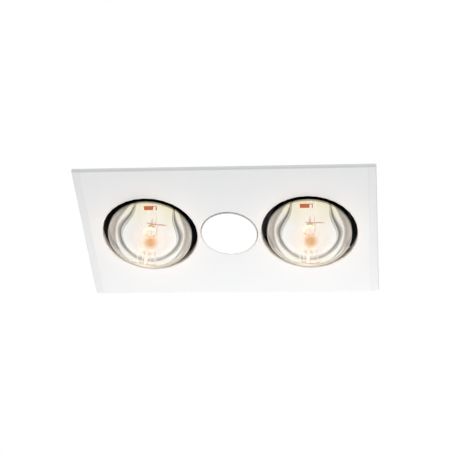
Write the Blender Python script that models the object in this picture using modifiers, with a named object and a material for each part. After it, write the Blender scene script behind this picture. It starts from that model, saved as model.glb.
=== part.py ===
"""Bathroom ceiling heater: two reflector heat lamps, a centre light and an exhaust fan in one box.

Metres, +Z up. The origin is the middle of the ceiling opening, and z = 0 is the underside of the
ceiling: the housing stands above it, and the fascia hangs below it. X runs along the fascia, and the
air leaves towards +Y.
"""

import math

import bmesh
import bpy
from mathutils import Matrix, Vector

# Driving sizes: the lamps set the box's length and height, and the box sets its flange and fascia
BULB_RADIUS = 0.0625
BULB_LENGTH = 0.1517
RING_GAP = 0.008
LIGHT_RADIUS = 0.0415
OPENING_SPACE = 0.006
HOUSING_END_SPACE = 0.0115
HOUSING_WIDTH = 0.202
HOUSING_SHEET = 0.001
ROOF_SPACE = 0.0155
FLANGE_REACH_X = 0.0145
FLANGE_REACH_Y = 0.014
FASCIA_LAP = 0.010
FASCIA_DEPTH = 0.006
LAMP_PROTRUSION = 0.028
DUCT_RADIUS = 0.049
CEILING_BOARD = 0.010

# Fits and working values
SEAT = 0.0003
OVERRUN = 0.002
DIP = 0.0001
MERGE = 0.00001
TURN = 2 * math.pi
QUARTER = TURN / 4
SHARP_ANGLE = math.radians(35)
FOLD_ANGLE = math.radians(45)
LEVEL_SHARE = 0.9

# Lamp position and the length of the holder over it
CAP_LENGTH = 0.025
TIP_HEIGHT = 0.004
HOLDER_LAP = 0.002
HOLDER_HEIGHT = 0.047
BRACKET_SHEET = 0.0012
FACE = -FASCIA_DEPTH
LAMP_APEX = FACE - LAMP_PROTRUSION
CAP_START = BULB_LENGTH + SEAT
CAP_END = CAP_START + CAP_LENGTH
HOLDER_BASE = LAMP_APEX + CAP_START + HOLDER_LAP
HOLDER_TOP = HOLDER_BASE + HOLDER_HEIGHT
LAMP_OPENING_RADIUS = BULB_RADIUS + RING_GAP
LAMP_X = LIGHT_RADIUS + OPENING_SPACE + LAMP_OPENING_RADIUS

# Box, flange and fascia
INNER_X = LAMP_X + BULB_RADIUS + HOUSING_END_SPACE
INNER_Y = HOUSING_WIDTH / 2 - HOUSING_SHEET
INNER_TOP = HOLDER_TOP + SEAT + BRACKET_SHEET + ROOF_SPACE
HOUSING_LENGTH = 2 * (INNER_X + HOUSING_SHEET)
HOUSING_HEIGHT = INNER_TOP + HOUSING_SHEET
FLANGE_LENGTH = HOUSING_LENGTH + 2 * FLANGE_REACH_X
FLANGE_WIDTH = HOUSING_WIDTH + 2 * FLANGE_REACH_Y
FASCIA_LENGTH = FLANGE_LENGTH + 2 * FASCIA_LAP
FASCIA_WIDTH = FLANGE_WIDTH + 2 * FASCIA_LAP
SIDES = {"left": -1, "right": 1}
CORNERS = {1: (-1, -1), 2: (1, -1), 3: (-1, 1), 4: (1, 1)}

# Colour, roughness and metallic value of each finish
FINISHES = {
    "white_enamel": ((0.86, 0.86, 0.85), 0.35, 0.0),
    "galvanised_steel": ((0.60, 0.62, 0.63), 0.45, 0.9),
    "spring_steel": ((0.42, 0.43, 0.45), 0.35, 0.95),
    "zinc_plate": ((0.66, 0.66, 0.62), 0.30, 0.95),
    "lamp_glass": ((0.85, 0.83, 0.80), 0.05, 0.0),
    "mount_glass": ((0.80, 0.84, 0.84), 0.10, 0.0),
    "lamp_brass": ((0.72, 0.56, 0.28), 0.30, 0.95),
    "tungsten": ((1.00, 0.62, 0.28), 0.50, 0.5),
    "ceramic": ((0.88, 0.86, 0.80), 0.40, 0.0),
    "pale_plastic": ((0.78, 0.79, 0.78), 0.50, 0.0),
    "grey_plastic": ((0.35, 0.36, 0.37), 0.55, 0.0),
    "dark_plastic": ((0.06, 0.06, 0.06), 0.50, 0.0),
    "rubber": ((0.03, 0.03, 0.03), 0.80, 0.0),
    "cast_aluminium": ((0.70, 0.71, 0.72), 0.40, 0.9),
    "board_white": ((0.85, 0.87, 0.85), 0.50, 0.0),
    "opal": ((0.95, 0.95, 0.93), 0.30, 0.0),
    "lead_brown": ((0.30, 0.16, 0.08), 0.55, 0.0),
    "lead_white": ((0.80, 0.80, 0.78), 0.50, 0.0),
}


# Scene and collections
def clear_scene():
    for obj in list(bpy.data.objects):
        bpy.data.objects.remove(obj, do_unlink=True)
    for old in list(bpy.data.collections):
        bpy.data.collections.remove(old)


def new_collection(name):
    made = bpy.data.collections.new(name)
    bpy.context.scene.collection.children.link(made)
    return made


clear_scene()
PARTS = new_collection("bathroom_ceiling_heater")
CUTTERS = new_collection("cutters")


def finish_material(finish):
    if finish in bpy.data.materials:
        return bpy.data.materials[finish]
    colour, roughness, metallic = FINISHES[finish]
    material = bpy.data.materials.new(finish)
    material.use_nodes = True
    shader = material.node_tree.nodes["Principled BSDF"]
    shader.inputs["Base Color"].default_value = (*colour, 1)
    shader.inputs["Roughness"].default_value = roughness
    shader.inputs["Metallic"].default_value = metallic
    material.diffuse_color = (*colour, 1)
    return material


def painted(obj, finish):
    obj.data.materials.clear()
    obj.data.materials.append(finish_material(finish))
    return obj


# Shapes
def from_bmesh(name, bm, place=(0, 0, 0)):
    mesh = bpy.data.meshes.new(name)
    bm.to_mesh(mesh)
    bm.free()
    obj = bpy.data.objects.new(name, mesh)
    obj.location = place
    PARTS.objects.link(obj)
    return obj


def meshed(curve):
    """The curve as a mesh with its caps welded, under the same name."""
    name = curve.name
    bpy.context.view_layer.update()
    graph = bpy.context.evaluated_depsgraph_get()
    mesh = bpy.data.meshes.new_from_object(curve.evaluated_get(graph))
    bm = bmesh.new()
    bm.from_mesh(mesh)
    bmesh.ops.remove_doubles(bm, verts=bm.verts, dist=MERGE)
    matrix = curve.matrix_world.copy()
    bpy.data.objects.remove(curve, do_unlink=True)
    bpy.data.meshes.remove(mesh)
    obj = from_bmesh(name, bm)
    obj.matrix_world = matrix
    return obj


def solidified(obj, thickness, offset):
    shell = obj.modifiers.new("sheet", "SOLIDIFY")
    shell.thickness = thickness
    shell.offset = offset
    shell.use_even_offset = True
    shell.use_quality_normals = True
    return obj


def rounded(obj, radius, steps=2):
    bevel = obj.modifiers.new("rounding", "BEVEL")
    bevel.width = radius
    bevel.segments = steps
    bevel.limit_method = "ANGLE"
    return obj


def fold_edges(bm, radius):
    """Rounds the edges where a sheet turns."""
    edges = [edge for edge in bm.edges if len(edge.link_faces) == 2]
    folds = [edge for edge in edges if edge.calc_face_angle() > FOLD_ANGLE]
    bmesh.ops.bevel(bm, geom=folds, offset=radius, segments=2, profile=0.5, affect="EDGES")


def block_between(bm, low, high):
    size = Vector(high) - Vector(low)
    centre = (Vector(high) + Vector(low)) / 2
    made = bmesh.ops.create_cube(bm, size=1)["verts"]
    bmesh.ops.scale(bm, vec=size, verts=made)
    bmesh.ops.translate(bm, vec=centre, verts=made)
    return made


def block(name, low, high, place=(0, 0, 0)):
    bm = bmesh.new()
    block_between(bm, low, high)
    return from_bmesh(name, bm, place)


def rod(name, radius, start, end, sides=24, place=(0, 0, 0)):
    """A cylinder from one point to another."""
    run = Vector(end) - Vector(start)
    bm = bmesh.new()
    bmesh.ops.create_cone(
        bm, cap_ends=True, segments=sides, radius1=radius, radius2=radius, depth=run.length
    )
    middle = Matrix.Translation((Vector(start) + Vector(end)) / 2)
    aim = run.to_track_quat("Z", "Y").to_matrix().to_4x4()
    bmesh.ops.transform(bm, matrix=middle @ aim, verts=bm.verts)
    return from_bmesh(name, bm, place)


def turned(name, profile, sides=32, closed=False, place=(0, 0, 0)):
    """A profile of (radius, height) points, top to bottom down its outer side, turned about Z."""
    bm = bmesh.new()
    verts = [bm.verts.new((radius, 0, height)) for radius, height in profile]
    for first, second in zip(verts, verts[1:]):
        bm.edges.new((first, second))
    if closed:
        bm.edges.new((verts[-1], verts[0]))
    obj = from_bmesh(name, bm, place)
    screw = obj.modifiers.new("turn", "SCREW")
    screw.angle = TURN
    screw.steps = sides
    screw.render_steps = sides
    screw.use_merge_vertices = True
    screw.merge_threshold = MERGE
    return obj


def slab(name, outlines, base, top, place=(0, 0, 0)):
    """Outlines of (x, y) points, the first outside and any others holes, from a base to a top height."""
    data = bpy.data.curves.new(name, "CURVE")
    data.dimensions = "2D"
    data.fill_mode = "BOTH"
    data.extrude = (top - base) / 2
    for outline in outlines:
        spline = data.splines.new("POLY")
        spline.points.add(len(outline) - 1)
        for point, (x, y) in zip(spline.points, outline):
            point.co = (x, y, 0, 1)
        spline.use_cyclic_u = True
    curve = bpy.data.objects.new(name, data)
    PARTS.objects.link(curve)
    obj = meshed(curve)
    obj.data.transform(Matrix.Translation((0, 0, (top + base) / 2)))
    obj.location = place
    return obj


def strip(name, path, across, thickness, place=(0, 0, 0)):
    """A folded strip of sheet: its middle line as points, swept to both sides by the vector across."""
    bm = bmesh.new()
    half = Vector(across) / 2
    near = [bm.verts.new(Vector(point) - half) for point in path]
    far = [bm.verts.new(Vector(point) + half) for point in path]
    for i in range(len(path) - 1):
        bm.faces.new((near[i], near[i + 1], far[i + 1], far[i]))
    return solidified(from_bmesh(name, bm, place), thickness, 0)


def wire(name, points, radius, resolution=2, place=(0, 0, 0)):
    data = bpy.data.curves.new(name, "CURVE")
    data.dimensions = "3D"
    data.bevel_depth = radius
    data.bevel_resolution = resolution
    data.use_fill_caps = True
    spline = data.splines.new("POLY")
    spline.points.add(len(points) - 1)
    for point, co in zip(spline.points, points):
        point.co = (*co, 1)
    curve = bpy.data.objects.new(name, data)
    PARTS.objects.link(curve)
    obj = meshed(curve)
    obj.location = place
    return obj


def smooth_route(points, spacing):
    """Points about one spacing apart on a smooth curve through the route's points."""
    route = [Vector(point) for point in points]
    route = [2 * route[0] - route[1], *route, 2 * route[-1] - route[-2]]
    smooth = []
    for before, start, end, after in zip(route, route[1:], route[2:], route[3:]):
        steps = max(1, round((end - start).length / spacing))
        for step in range(steps):
            t = step / steps
            smooth.append(
                (
                    2 * start
                    + (end - before) * t
                    + (2 * before - 5 * start + 4 * end - after) * t**2
                    + (3 * start - before - 3 * end + after) * t**3
                )
                / 2
            )
    return [*smooth, route[-2]]


def circle(radius, sides):
    angles = [TURN * i / sides for i in range(sides)]
    return [(radius * math.cos(angle), radius * math.sin(angle)) for angle in angles]


def rounded_rectangle(length, width, radius, steps=4):
    points = []
    for quarter, (sx, sy) in enumerate(((1, 1), (-1, 1), (-1, -1), (1, -1))):
        for step in range(steps + 1):
            angle = QUARTER * (quarter + step / steps)
            x = sx * (length / 2 - radius) + radius * math.cos(angle)
            y = sy * (width / 2 - radius) + radius * math.sin(angle)
            points.append((x, y))
    return points


def quarter_bend(radius, base, bend, reach, steps=2):
    """Points down a collar's bend, on the arc of that reach, which dips just past the sheet's face."""
    points = []
    for step in range(steps + 1):
        angle = QUARTER * step / steps
        height = base + bend - DIP - reach * math.sin(angle)
        points.append((radius + bend - reach * math.cos(angle), height))
    return points


def changed(obj, tool, operation):
    """A Boolean of the object with a tool, which goes to the cutters."""
    PARTS.objects.unlink(tool)
    CUTTERS.objects.link(tool)
    tool.name = obj.name + "_tool"
    tool.hide_render = True
    tool.display_type = "WIRE"
    boolean = obj.modifiers.new(operation.lower(), "BOOLEAN")
    boolean.operation = operation
    boolean.object = tool
    return obj


def cut(obj, tool):
    return changed(obj, tool, "DIFFERENCE")


def join(obj, tool):
    return changed(obj, tool, "UNION")


def gathered(name, objects):
    """The evaluated objects as one mesh of separate bodies, for a tool that works in several places."""
    bpy.context.view_layer.update()
    graph = bpy.context.evaluated_depsgraph_get()
    bm = bmesh.new()
    for obj in objects:
        mesh = bpy.data.meshes.new_from_object(obj.evaluated_get(graph))
        mesh.transform(obj.matrix_world)
        bm.from_mesh(mesh)
        bpy.data.meshes.remove(mesh)
    for obj in objects:
        bpy.data.objects.remove(obj, do_unlink=True)
    return from_bmesh(name, bm)


def draw_collars(obj, openings, sheet, base, sides):
    """Opens a sheet whose underside is at base, with a collar of that sheet drawn up round each opening."""
    plugs = []
    cores = []
    for x, radius, bend, height in openings:
        top = base + height
        plug = [(0, top), (radius + sheet, top), *quarter_bend(radius, base, bend, bend - sheet)]
        plug += [(radius + bend, base + sheet / 2), (0, base + sheet / 2)]
        plugs.append(turned("plug", plug, sides, place=(x, 0, 0)))
        core = [(0, top + OVERRUN), (radius, top + OVERRUN), *quarter_bend(radius, base, bend, bend)]
        core += [(radius + bend, base - OVERRUN), (0, base - OVERRUN)]
        cores.append(turned("core", core, sides, place=(x, 0, 0)))
    join(obj, gathered("plugs", plugs))
    cut(obj, gathered("cores", cores))


# Fascia: a pressed sheet with folded edges, a crease near each short end and a drawn collar at each opening
FASCIA_SHEET = 0.0008
FASCIA_FOLD = 0.0018
END_BAND = 0.0115
END_RISE = 0.0016
OPENING_BEND = 0.0022
OPENING_COLLAR = 0.010
LIGHT_GAP = 0.0006
LIGHT_BEND = 0.0014
LIGHT_COLLAR = 0.005
OPENING_SIDES = 32


def fascia():
    crease = FASCIA_LENGTH / 2 - END_BAND
    bm = bmesh.new()
    corner = (FASCIA_LENGTH / 2, FASCIA_WIDTH / 2, 0)
    block_between(bm, (-FASCIA_LENGTH / 2, -FASCIA_WIDTH / 2, FACE), corner)
    for side in SIDES.values():
        everything = bm.verts[:] + bm.edges[:] + bm.faces[:]
        line = (side * crease, 0, 0)
        bmesh.ops.bisect_plane(bm, geom=everything, plane_co=line, plane_no=(1, 0, 0))
    for vert in bm.verts:
        if vert.co.z < FACE / 2 and abs(vert.co.x) > crease + END_BAND / 2:
            vert.co.z += END_RISE
    bm.normal_update()
    roof = [face for face in bm.faces if face.normal.z > LEVEL_SHARE]
    bmesh.ops.delete(bm, geom=roof, context="FACES")
    fold_edges(bm, FASCIA_FOLD)
    obj = solidified(from_bmesh("fascia", bm), FASCIA_SHEET, -1)
    openings = []
    for side in SIDES.values():
        openings.append((side * LAMP_X, LAMP_OPENING_RADIUS, OPENING_BEND, OPENING_COLLAR))
    openings.append((0, LIGHT_RADIUS + LIGHT_GAP, LIGHT_BEND, LIGHT_COLLAR))
    draw_collars(obj, openings, FASCIA_SHEET, FACE, OPENING_SIDES)
    return painted(obj, "white_enamel")


# Fascia clips: leaf springs that stand on the fascia's back and snap into slots of the housing's long walls
CLIP_X = 0.060
CLIP_WIDTH = 0.012
CLIP_SHEET = 0.0006
CLIP_FOOT = 0.012
CLIP_HEEL_GAP = 0.004
CLIP_KNEE_GAP = 0.0028
CLIP_KNEE_HEIGHT = 0.008
CLIP_NOSE = 0.0004
CLIP_NOSE_HEIGHT = 0.013
CLIP_TIP_GAP = 0.004
CLIP_TIP_HEIGHT = 0.020
CLIP_SLOT_HALF = 0.0028


def fascia_clip(number, sx, sy):
    foot = FACE + FASCIA_SHEET + SEAT + CLIP_SHEET / 2
    path = [
        (INNER_Y - CLIP_HEEL_GAP - CLIP_FOOT, foot),
        (INNER_Y - CLIP_HEEL_GAP, foot),
        (INNER_Y - CLIP_KNEE_GAP, CLIP_KNEE_HEIGHT),
        (INNER_Y + CLIP_NOSE, CLIP_NOSE_HEIGHT),
        (INNER_Y - CLIP_TIP_GAP, CLIP_TIP_HEIGHT),
    ]
    points = [(sx * CLIP_X, sy * y, z) for y, z in path]
    obj = strip(f"fascia_clip_{number}", points, (sy * CLIP_WIDTH, 0, 0), CLIP_SHEET)
    return painted(obj, "spring_steel")


# Fan position: the scroll fills the space between the lamp holders, and the duct meets its outlet
HOLDER_RADIUS = 0.023
FAN_CLEARANCE = 0.004
MOTOR_SPACE = 0.032
SCROLL_HEIGHT = 0.056
SCROLL_WALL = 0.0015
SCROLL_GAP = 0.0044
SCROLL_GROWTH = 0.019
SCROLL_LIP = 0.003
TONGUE_ANGLE = math.radians(70)
SCROLL_STEPS = 20
SCROLL_TOP = INNER_TOP - MOTOR_SPACE
SCROLL_BASE = SCROLL_TOP - SCROLL_HEIGHT
SCROLL_END = LAMP_X - HOLDER_RADIUS - FAN_CLEARANCE - SCROLL_LIP
SCROLL_START = SCROLL_END - SCROLL_GROWTH
WHEEL_RADIUS = SCROLL_START - SCROLL_GAP
TONGUE_X = SCROLL_START * math.cos(TONGUE_ANGLE)
OUTLET_X = (TONGUE_X + SCROLL_END) / 2
OUTLET_Z = SCROLL_BASE + SCROLL_HEIGHT / 2

# Clamp position: a screw in each corner, beside the window that its arm swings through
CLAMP_SETBACK_X = 0.013
CLAMP_SETBACK_Y = 0.012
CLAMP_X = INNER_X - CLAMP_SETBACK_X
CLAMP_Y = INNER_Y - CLAMP_SETBACK_Y
ARM_HALF_WIDTH = 0.006
ARM_LENGTH = 0.032
WINDOW_LOW = 0.004
WINDOW_HIGH = 0.040
WINDOW_MARGIN = 0.003

# Cable entry
CABLE_HOLE_RADIUS = 0.009
CABLE_DROP = 0.020
CABLE_Z = HOUSING_HEIGHT - CABLE_DROP

# Housing: a folded sheet box that is open below, with a flange that lies against the ceiling
HOUSING_FOLD = 0.002


def housing():
    bm = bmesh.new()
    low = (-HOUSING_LENGTH / 2, -HOUSING_WIDTH / 2, 0)
    block_between(bm, low, (HOUSING_LENGTH / 2, HOUSING_WIDTH / 2, HOUSING_HEIGHT))
    bm.normal_update()
    floor = [face for face in bm.faces if face.normal.z < -LEVEL_SHARE]
    bmesh.ops.delete(bm, geom=floor, context="FACES")
    mouth = [edge for edge in bm.edges if edge.is_boundary]
    made = bmesh.ops.extrude_edge_only(bm, edges=mouth)["geom"]
    for vert in [item for item in made if isinstance(item, bmesh.types.BMVert)]:
        vert.co.x = math.copysign(FLANGE_LENGTH / 2, vert.co.x)
        vert.co.y = math.copysign(FLANGE_WIDTH / 2, vert.co.y)
    bmesh.ops.recalc_face_normals(bm, faces=bm.faces)
    fold_edges(bm, HOUSING_FOLD)
    obj = solidified(from_bmesh("housing", bm), HOUSING_SHEET, -1)
    tools = bmesh.new()
    outside = HOUSING_WIDTH / 2 + OVERRUN
    passage_low = (TONGUE_X + SCROLL_WALL, INNER_Y - OVERRUN, SCROLL_BASE + SCROLL_WALL)
    block_between(tools, passage_low, (SCROLL_END - SCROLL_WALL, outside, SCROLL_TOP - SCROLL_WALL))
    for sx, sy in CORNERS.values():
        walls = sorted((sy * (INNER_Y - OVERRUN), sy * outside))
        swept = sorted((sx * (CLAMP_X + ARM_HALF_WIDTH + WINDOW_MARGIN), sx * (CLAMP_X - ARM_LENGTH)))
        block_between(tools, (swept[0], walls[0], WINDOW_LOW), (swept[1], walls[1], WINDOW_HIGH))
        slot_half = CLIP_WIDTH / 2 + CLIP_SHEET
        slot_low = (sx * CLIP_X - slot_half, walls[0], CLIP_NOSE_HEIGHT - CLIP_SLOT_HALF)
        slot_high = (sx * CLIP_X + slot_half, walls[1], CLIP_NOSE_HEIGHT + CLIP_SLOT_HALF)
        block_between(tools, slot_low, slot_high)
    cut(obj, from_bmesh("wall_openings", tools))
    entry = (-HOUSING_LENGTH / 2 - OVERRUN, 0, CABLE_Z)
    cut(obj, rod("cable_hole", CABLE_HOLE_RADIUS, entry, (-INNER_X + OVERRUN, 0, CABLE_Z)))
    return painted(obj, "galvanised_steel")


# Cable grommet: a grooved rubber ring in the housing's cable hole
GROMMET_FLANGE = 0.003
GROMMET_THICKNESS = 0.002
GROMMET_BORE = 0.005


def cable_grommet():
    half = HOUSING_SHEET / 2 + SEAT
    outer = CABLE_HOLE_RADIUS + GROMMET_FLANGE
    neck = CABLE_HOLE_RADIUS - SEAT
    profile = [
        (outer, half + GROMMET_THICKNESS),
        (outer, half),
        (neck, half),
        (neck, -half),
        (outer, -half),
        (outer, -half - GROMMET_THICKNESS),
        (GROMMET_BORE, -half - GROMMET_THICKNESS),
        (GROMMET_BORE, half + GROMMET_THICKNESS),
    ]
    middle = (-HOUSING_LENGTH / 2 + HOUSING_SHEET / 2, 0, CABLE_Z)
    obj = turned("cable_grommet", profile, 16, closed=True, place=middle)
    obj.rotation_euler = (0, -QUARTER, 0)
    return painted(obj, "rubber")


# Heat lamp: a domed clear front and a wide shoulder, with a mirrored back that narrows to a screw cap
BULB_WALL = 0.001
DOME_RADIUS_SHARE = 0.8
DOME_RISE = 0.012
NECK_END_RADIUS = 0.0136
BULB_SHARES = (
    (0.304, 0.943),
    (0.304, 0.857),
    (0.400, 0.770),
    (0.576, 0.660),
    (0.848, 0.428),
    (0.960, 0.297),
    (1.000, 0.185),
    (0.975, 0.135),
    (0.900, 0.105),
)
DOME_RADIUS = DOME_RADIUS_SHARE * BULB_RADIUS
LAMP_SIDES = 24
DOME_STEPS = 3


def dome_points(steps):
    """The front's round arc, from its rim down to the apex."""
    arc_radius = (DOME_RADIUS**2 + DOME_RISE**2) / (2 * DOME_RISE)
    points = []
    for step in range(steps + 1):
        radius = DOME_RADIUS * (1 - step / steps)
        points.append((radius, arc_radius - math.sqrt(arc_radius**2 - radius**2)))
    return points


def lamp_glass(side, x):
    profile = [(NECK_END_RADIUS, BULB_LENGTH)]
    profile += [(radius * BULB_RADIUS, height * BULB_LENGTH) for radius, height in BULB_SHARES]
    profile += dome_points(DOME_STEPS)
    obj = turned(f"lamp_glass_{side}", profile, LAMP_SIDES, place=(x, 0, LAMP_APEX))
    return painted(solidified(obj, BULB_WALL, -1), "lamp_glass")


CAP_RADIUS = 0.0132
CAP_SHEET = 0.0008
CAP_SHOULDER = 0.0026
TIP_RADIUS = 0.004


def lamp_cap(side, x):
    roof = CAP_END - CAP_SHEET
    profile = [
        (0, CAP_END + TIP_HEIGHT),
        (TIP_RADIUS, CAP_END + TIP_HEIGHT),
        (TIP_RADIUS, CAP_END + TIP_HEIGHT / 2),
        (CAP_RADIUS - CAP_SHOULDER, CAP_END),
        (CAP_RADIUS, CAP_END - CAP_SHOULDER),
        (CAP_RADIUS, CAP_START),
        (CAP_RADIUS - CAP_SHEET, CAP_START),
        (CAP_RADIUS - CAP_SHEET, roof - CAP_SHOULDER),
        (CAP_RADIUS - CAP_SHOULDER - CAP_SHEET, roof),
        (0, roof),
    ]
    obj = turned(f"lamp_cap_{side}", profile, 16, place=(x, 0, LAMP_APEX))
    return painted(obj, "lamp_brass")


# Filament: an open ring of curls round the lamp's axis
COIL_LEVEL = 0.032
COIL_RADIUS = 0.009
COIL_SWEEP = math.radians(270)
CURLS = 11
CURL_POINTS = 8
CURL_RADIUS = 0.0013
FILAMENT_WIRE = 0.0003
FILAMENT_END = 0.0010


def coil_points():
    count = CURLS * CURL_POINTS
    points = []
    for i in range(count + 1):
        bearing = (TURN - COIL_SWEEP) / 2 + COIL_SWEEP * i / count
        curl = TURN * i / CURL_POINTS
        reach = COIL_RADIUS + CURL_RADIUS * math.cos(curl)
        height = COIL_LEVEL + CURL_RADIUS * math.sin(curl)
        points.append(Vector((reach * math.cos(bearing), reach * math.sin(bearing), height)))
    return points


def filament_points():
    """The coil with a short straight end before and after it, each pointing up to its lead-in wire."""
    points = coil_points()
    rise = Vector((0, 0, FILAMENT_END + CURL_RADIUS))
    return [points[0] + rise, *points, points[-1] + rise]


def least_self_gap(points, wire_radius, skip):
    """The least clear distance between parts of a wire that are more than skip points apart."""
    gaps = [
        (second - first).length
        for i, first in enumerate(points)
        for second in points[i + skip :]
    ]
    return min(gaps) - 2 * wire_radius


def lamp_filament(side, x):
    points = filament_points()
    gap = least_self_gap(coil_points(), FILAMENT_WIRE, CURL_POINTS - 2)
    print(f"lamp_filament_{side}: least gap between curls {gap * 1000:.2f} mm")
    obj = wire(f"lamp_filament_{side}", points, FILAMENT_WIRE, 1, place=(x, 0, LAMP_APEX))
    return painted(obj, "tungsten")


# Lamp mount: a glass stem in the neck with a long rod and a button, two lead-in wires and three supports
STEM_FLARE = 0.0016
STEM_RADIUS = 0.0035
STEM_WAIST = 0.0050
STEM_LENGTH = 0.040
STEM_END = BULB_LENGTH - STEM_LENGTH
ROD_RADIUS = 0.0018
BUTTON_GAP = 0.008
BUTTON_RADIUS = 0.0045
BUTTON_HEIGHT = 0.006
BUTTON_ROUND = 0.001
LEAD_WIRE = 0.0006
LEAD_FALL = 0.010
SUPPORT_WIRE = 0.0004
SUPPORTS = 3


def lamp_mount(side, x):
    foot_radius = NECK_END_RADIUS - BULB_WALL - SEAT
    button_base = COIL_LEVEL + BUTTON_GAP
    button_top = button_base + BUTTON_HEIGHT
    profile = [
        (0, BULB_LENGTH),
        (foot_radius, BULB_LENGTH),
        (foot_radius, BULB_LENGTH - STEM_FLARE),
        (STEM_WAIST, BULB_LENGTH - foot_radius),
        (STEM_RADIUS, (BULB_LENGTH + STEM_END) / 2),
        (STEM_RADIUS, STEM_END),
        (ROD_RADIUS, STEM_END - STEM_RADIUS),
        (ROD_RADIUS, button_top),
        (BUTTON_RADIUS - BUTTON_ROUND, button_top),
        (BUTTON_RADIUS, button_top - BUTTON_ROUND),
        (BUTTON_RADIUS, button_base),
        (0, button_base),
    ]
    obj = turned(f"lamp_mount_{side}", profile, 12, place=(x, 0, LAMP_APEX))
    ends = filament_points()
    half = STEM_RADIUS / 2
    for end in (ends[0], ends[-1]):
        tip = end + Vector((0, 0, SEAT))
        root = (math.copysign(half, end.x), math.copysign(half, end.y), STEM_END + LEAD_WIRE)
        elbow = (tip.x, tip.y, STEM_END - LEAD_FALL)
        join(obj, wire("lead_in", [root, elbow, tip], LEAD_WIRE, 1, place=(x, 0, LAMP_APEX)))
    above_coil = COIL_LEVEL + CURL_RADIUS + FILAMENT_WIRE + SEAT + SUPPORT_WIRE
    for support in range(SUPPORTS):
        bearing = TURN / 2 + (support - 1) * QUARTER
        outward = Vector((math.cos(bearing), math.sin(bearing), 0))
        root = outward * BUTTON_RADIUS / 2 + Vector((0, 0, button_base + BUTTON_ROUND))
        tip = outward * COIL_RADIUS + Vector((0, 0, above_coil))
        join(obj, wire("support", [root, tip], SUPPORT_WIRE, 1, place=(x, 0, LAMP_APEX)))
    return painted(obj, "mount_glass")


# Lamp holder: a stepped ceramic body with a threaded sleeve and a centre contact inside
HOLDER_STEP = 0.003
HOLDER_CROWN_RADIUS = 0.016
HOLDER_WALL = 0.008
HOLDER_CHAMFER = 0.002
HOLDER_BORE = HOLDER_RADIUS - HOLDER_WALL
CONTACT_HEIGHT = 0.0044
CONTACT_BASE = LAMP_APEX + CAP_END + TIP_HEIGHT + SEAT
BORE_ROOF = CONTACT_BASE + CONTACT_HEIGHT + SEAT
CROWN_BASE = (BORE_ROOF + HOLDER_TOP) / 2 - HOLDER_CHAMFER


def lamp_holder(side, x):
    waist = HOLDER_RADIUS - HOLDER_STEP
    collar_top = (HOLDER_BASE + CROWN_BASE) / 2
    profile = [
        (0, HOLDER_TOP),
        (HOLDER_CROWN_RADIUS - HOLDER_CHAMFER, HOLDER_TOP),
        (HOLDER_CROWN_RADIUS, HOLDER_TOP - HOLDER_CHAMFER),
        (HOLDER_CROWN_RADIUS, CROWN_BASE),
        (waist, CROWN_BASE - HOLDER_CHAMFER),
        (waist, collar_top),
        (HOLDER_RADIUS, collar_top - HOLDER_CHAMFER),
        (HOLDER_RADIUS, HOLDER_BASE),
        (HOLDER_BORE, HOLDER_BASE),
        (HOLDER_BORE, BORE_ROOF),
        (0, BORE_ROOF),
    ]
    return painted(turned(f"lamp_holder_{side}", profile, 16, place=(x, 0, 0)), "ceramic")


SLEEVE_SHEET = 0.0005
SLEEVE_LENGTH = 0.026


def holder_sleeve(side, x):
    outer = HOLDER_BORE - SEAT
    top = CONTACT_BASE - SLEEVE_SHEET
    profile = [
        (outer, top),
        (outer, top - SLEEVE_LENGTH),
        (outer - SLEEVE_SHEET, top - SLEEVE_LENGTH),
        (outer - SLEEVE_SHEET, top),
    ]
    obj = turned(f"holder_sleeve_{side}", profile, 20, closed=True, place=(x, 0, 0))
    return painted(obj, "lamp_brass")


def holder_contact(side, x):
    top = (x, 0, CONTACT_BASE + CONTACT_HEIGHT)
    obj = rod(f"holder_contact_{side}", TIP_RADIUS, (x, 0, CONTACT_BASE), top, 16)
    return painted(obj, "lamp_brass")


# Lamp bracket: a strap across the housing that the holder hangs from
LAMP_BRACKET_WIDTH = 0.030
LAMP_BRACKET_LEG = 0.018


def lamp_bracket(side, x):
    y = INNER_Y - SEAT - BRACKET_SHEET / 2
    z = HOLDER_TOP + SEAT + BRACKET_SHEET / 2
    points = [(x, -y, z - LAMP_BRACKET_LEG), (x, -y, z), (x, y, z), (x, y, z - LAMP_BRACKET_LEG)]
    obj = strip(f"lamp_bracket_{side}", points, (LAMP_BRACKET_WIDTH, 0, 0), BRACKET_SHEET)
    return painted(obj, "galvanised_steel")


# Fan scroll: a spiral casing, open below, whose passage leaves through the housing's wall
SHAFT_RADIUS = 0.003
BOSS_RADIUS = 0.010
BOSS_GAP = 0.003


def scroll_outline(inset, outlet_y):
    """The casing's outline, moved inward by inset: a spiral from the tongue, then straight sides."""
    start = math.acos((TONGUE_X + inset) / (SCROLL_START - inset))
    points = []
    for step in range(SCROLL_STEPS + 1):
        angle = start + (TURN - start) * step / SCROLL_STEPS
        grown = SCROLL_GROWTH * (angle - TONGUE_ANGLE) / (TURN - TONGUE_ANGLE)
        radius = SCROLL_START - inset + grown
        points.append((radius * math.cos(angle), radius * math.sin(angle)))
    return [*points, (SCROLL_END - inset, outlet_y), (TONGUE_X + inset, outlet_y)]


def fan_scroll():
    outlet = INNER_Y - SEAT
    obj = slab("fan_scroll", [scroll_outline(0, outlet)], SCROLL_BASE, SCROLL_TOP)
    join(obj, slab("lip", [scroll_outline(-SCROLL_LIP, outlet)], SCROLL_BASE, SCROLL_BASE + SCROLL_WALL))
    inside = scroll_outline(SCROLL_WALL, outlet + OVERRUN)
    cut(obj, slab("inside", [inside], SCROLL_BASE - OVERRUN, SCROLL_TOP - SCROLL_WALL))
    hole_base = (0, 0, SCROLL_TOP - SCROLL_WALL - OVERRUN)
    hole_top = (0, 0, SCROLL_TOP + OVERRUN)
    cut(obj, rod("shaft_hole", BOSS_RADIUS + BOSS_GAP, hole_base, hole_top))
    return painted(obj, "pale_plastic")


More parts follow.
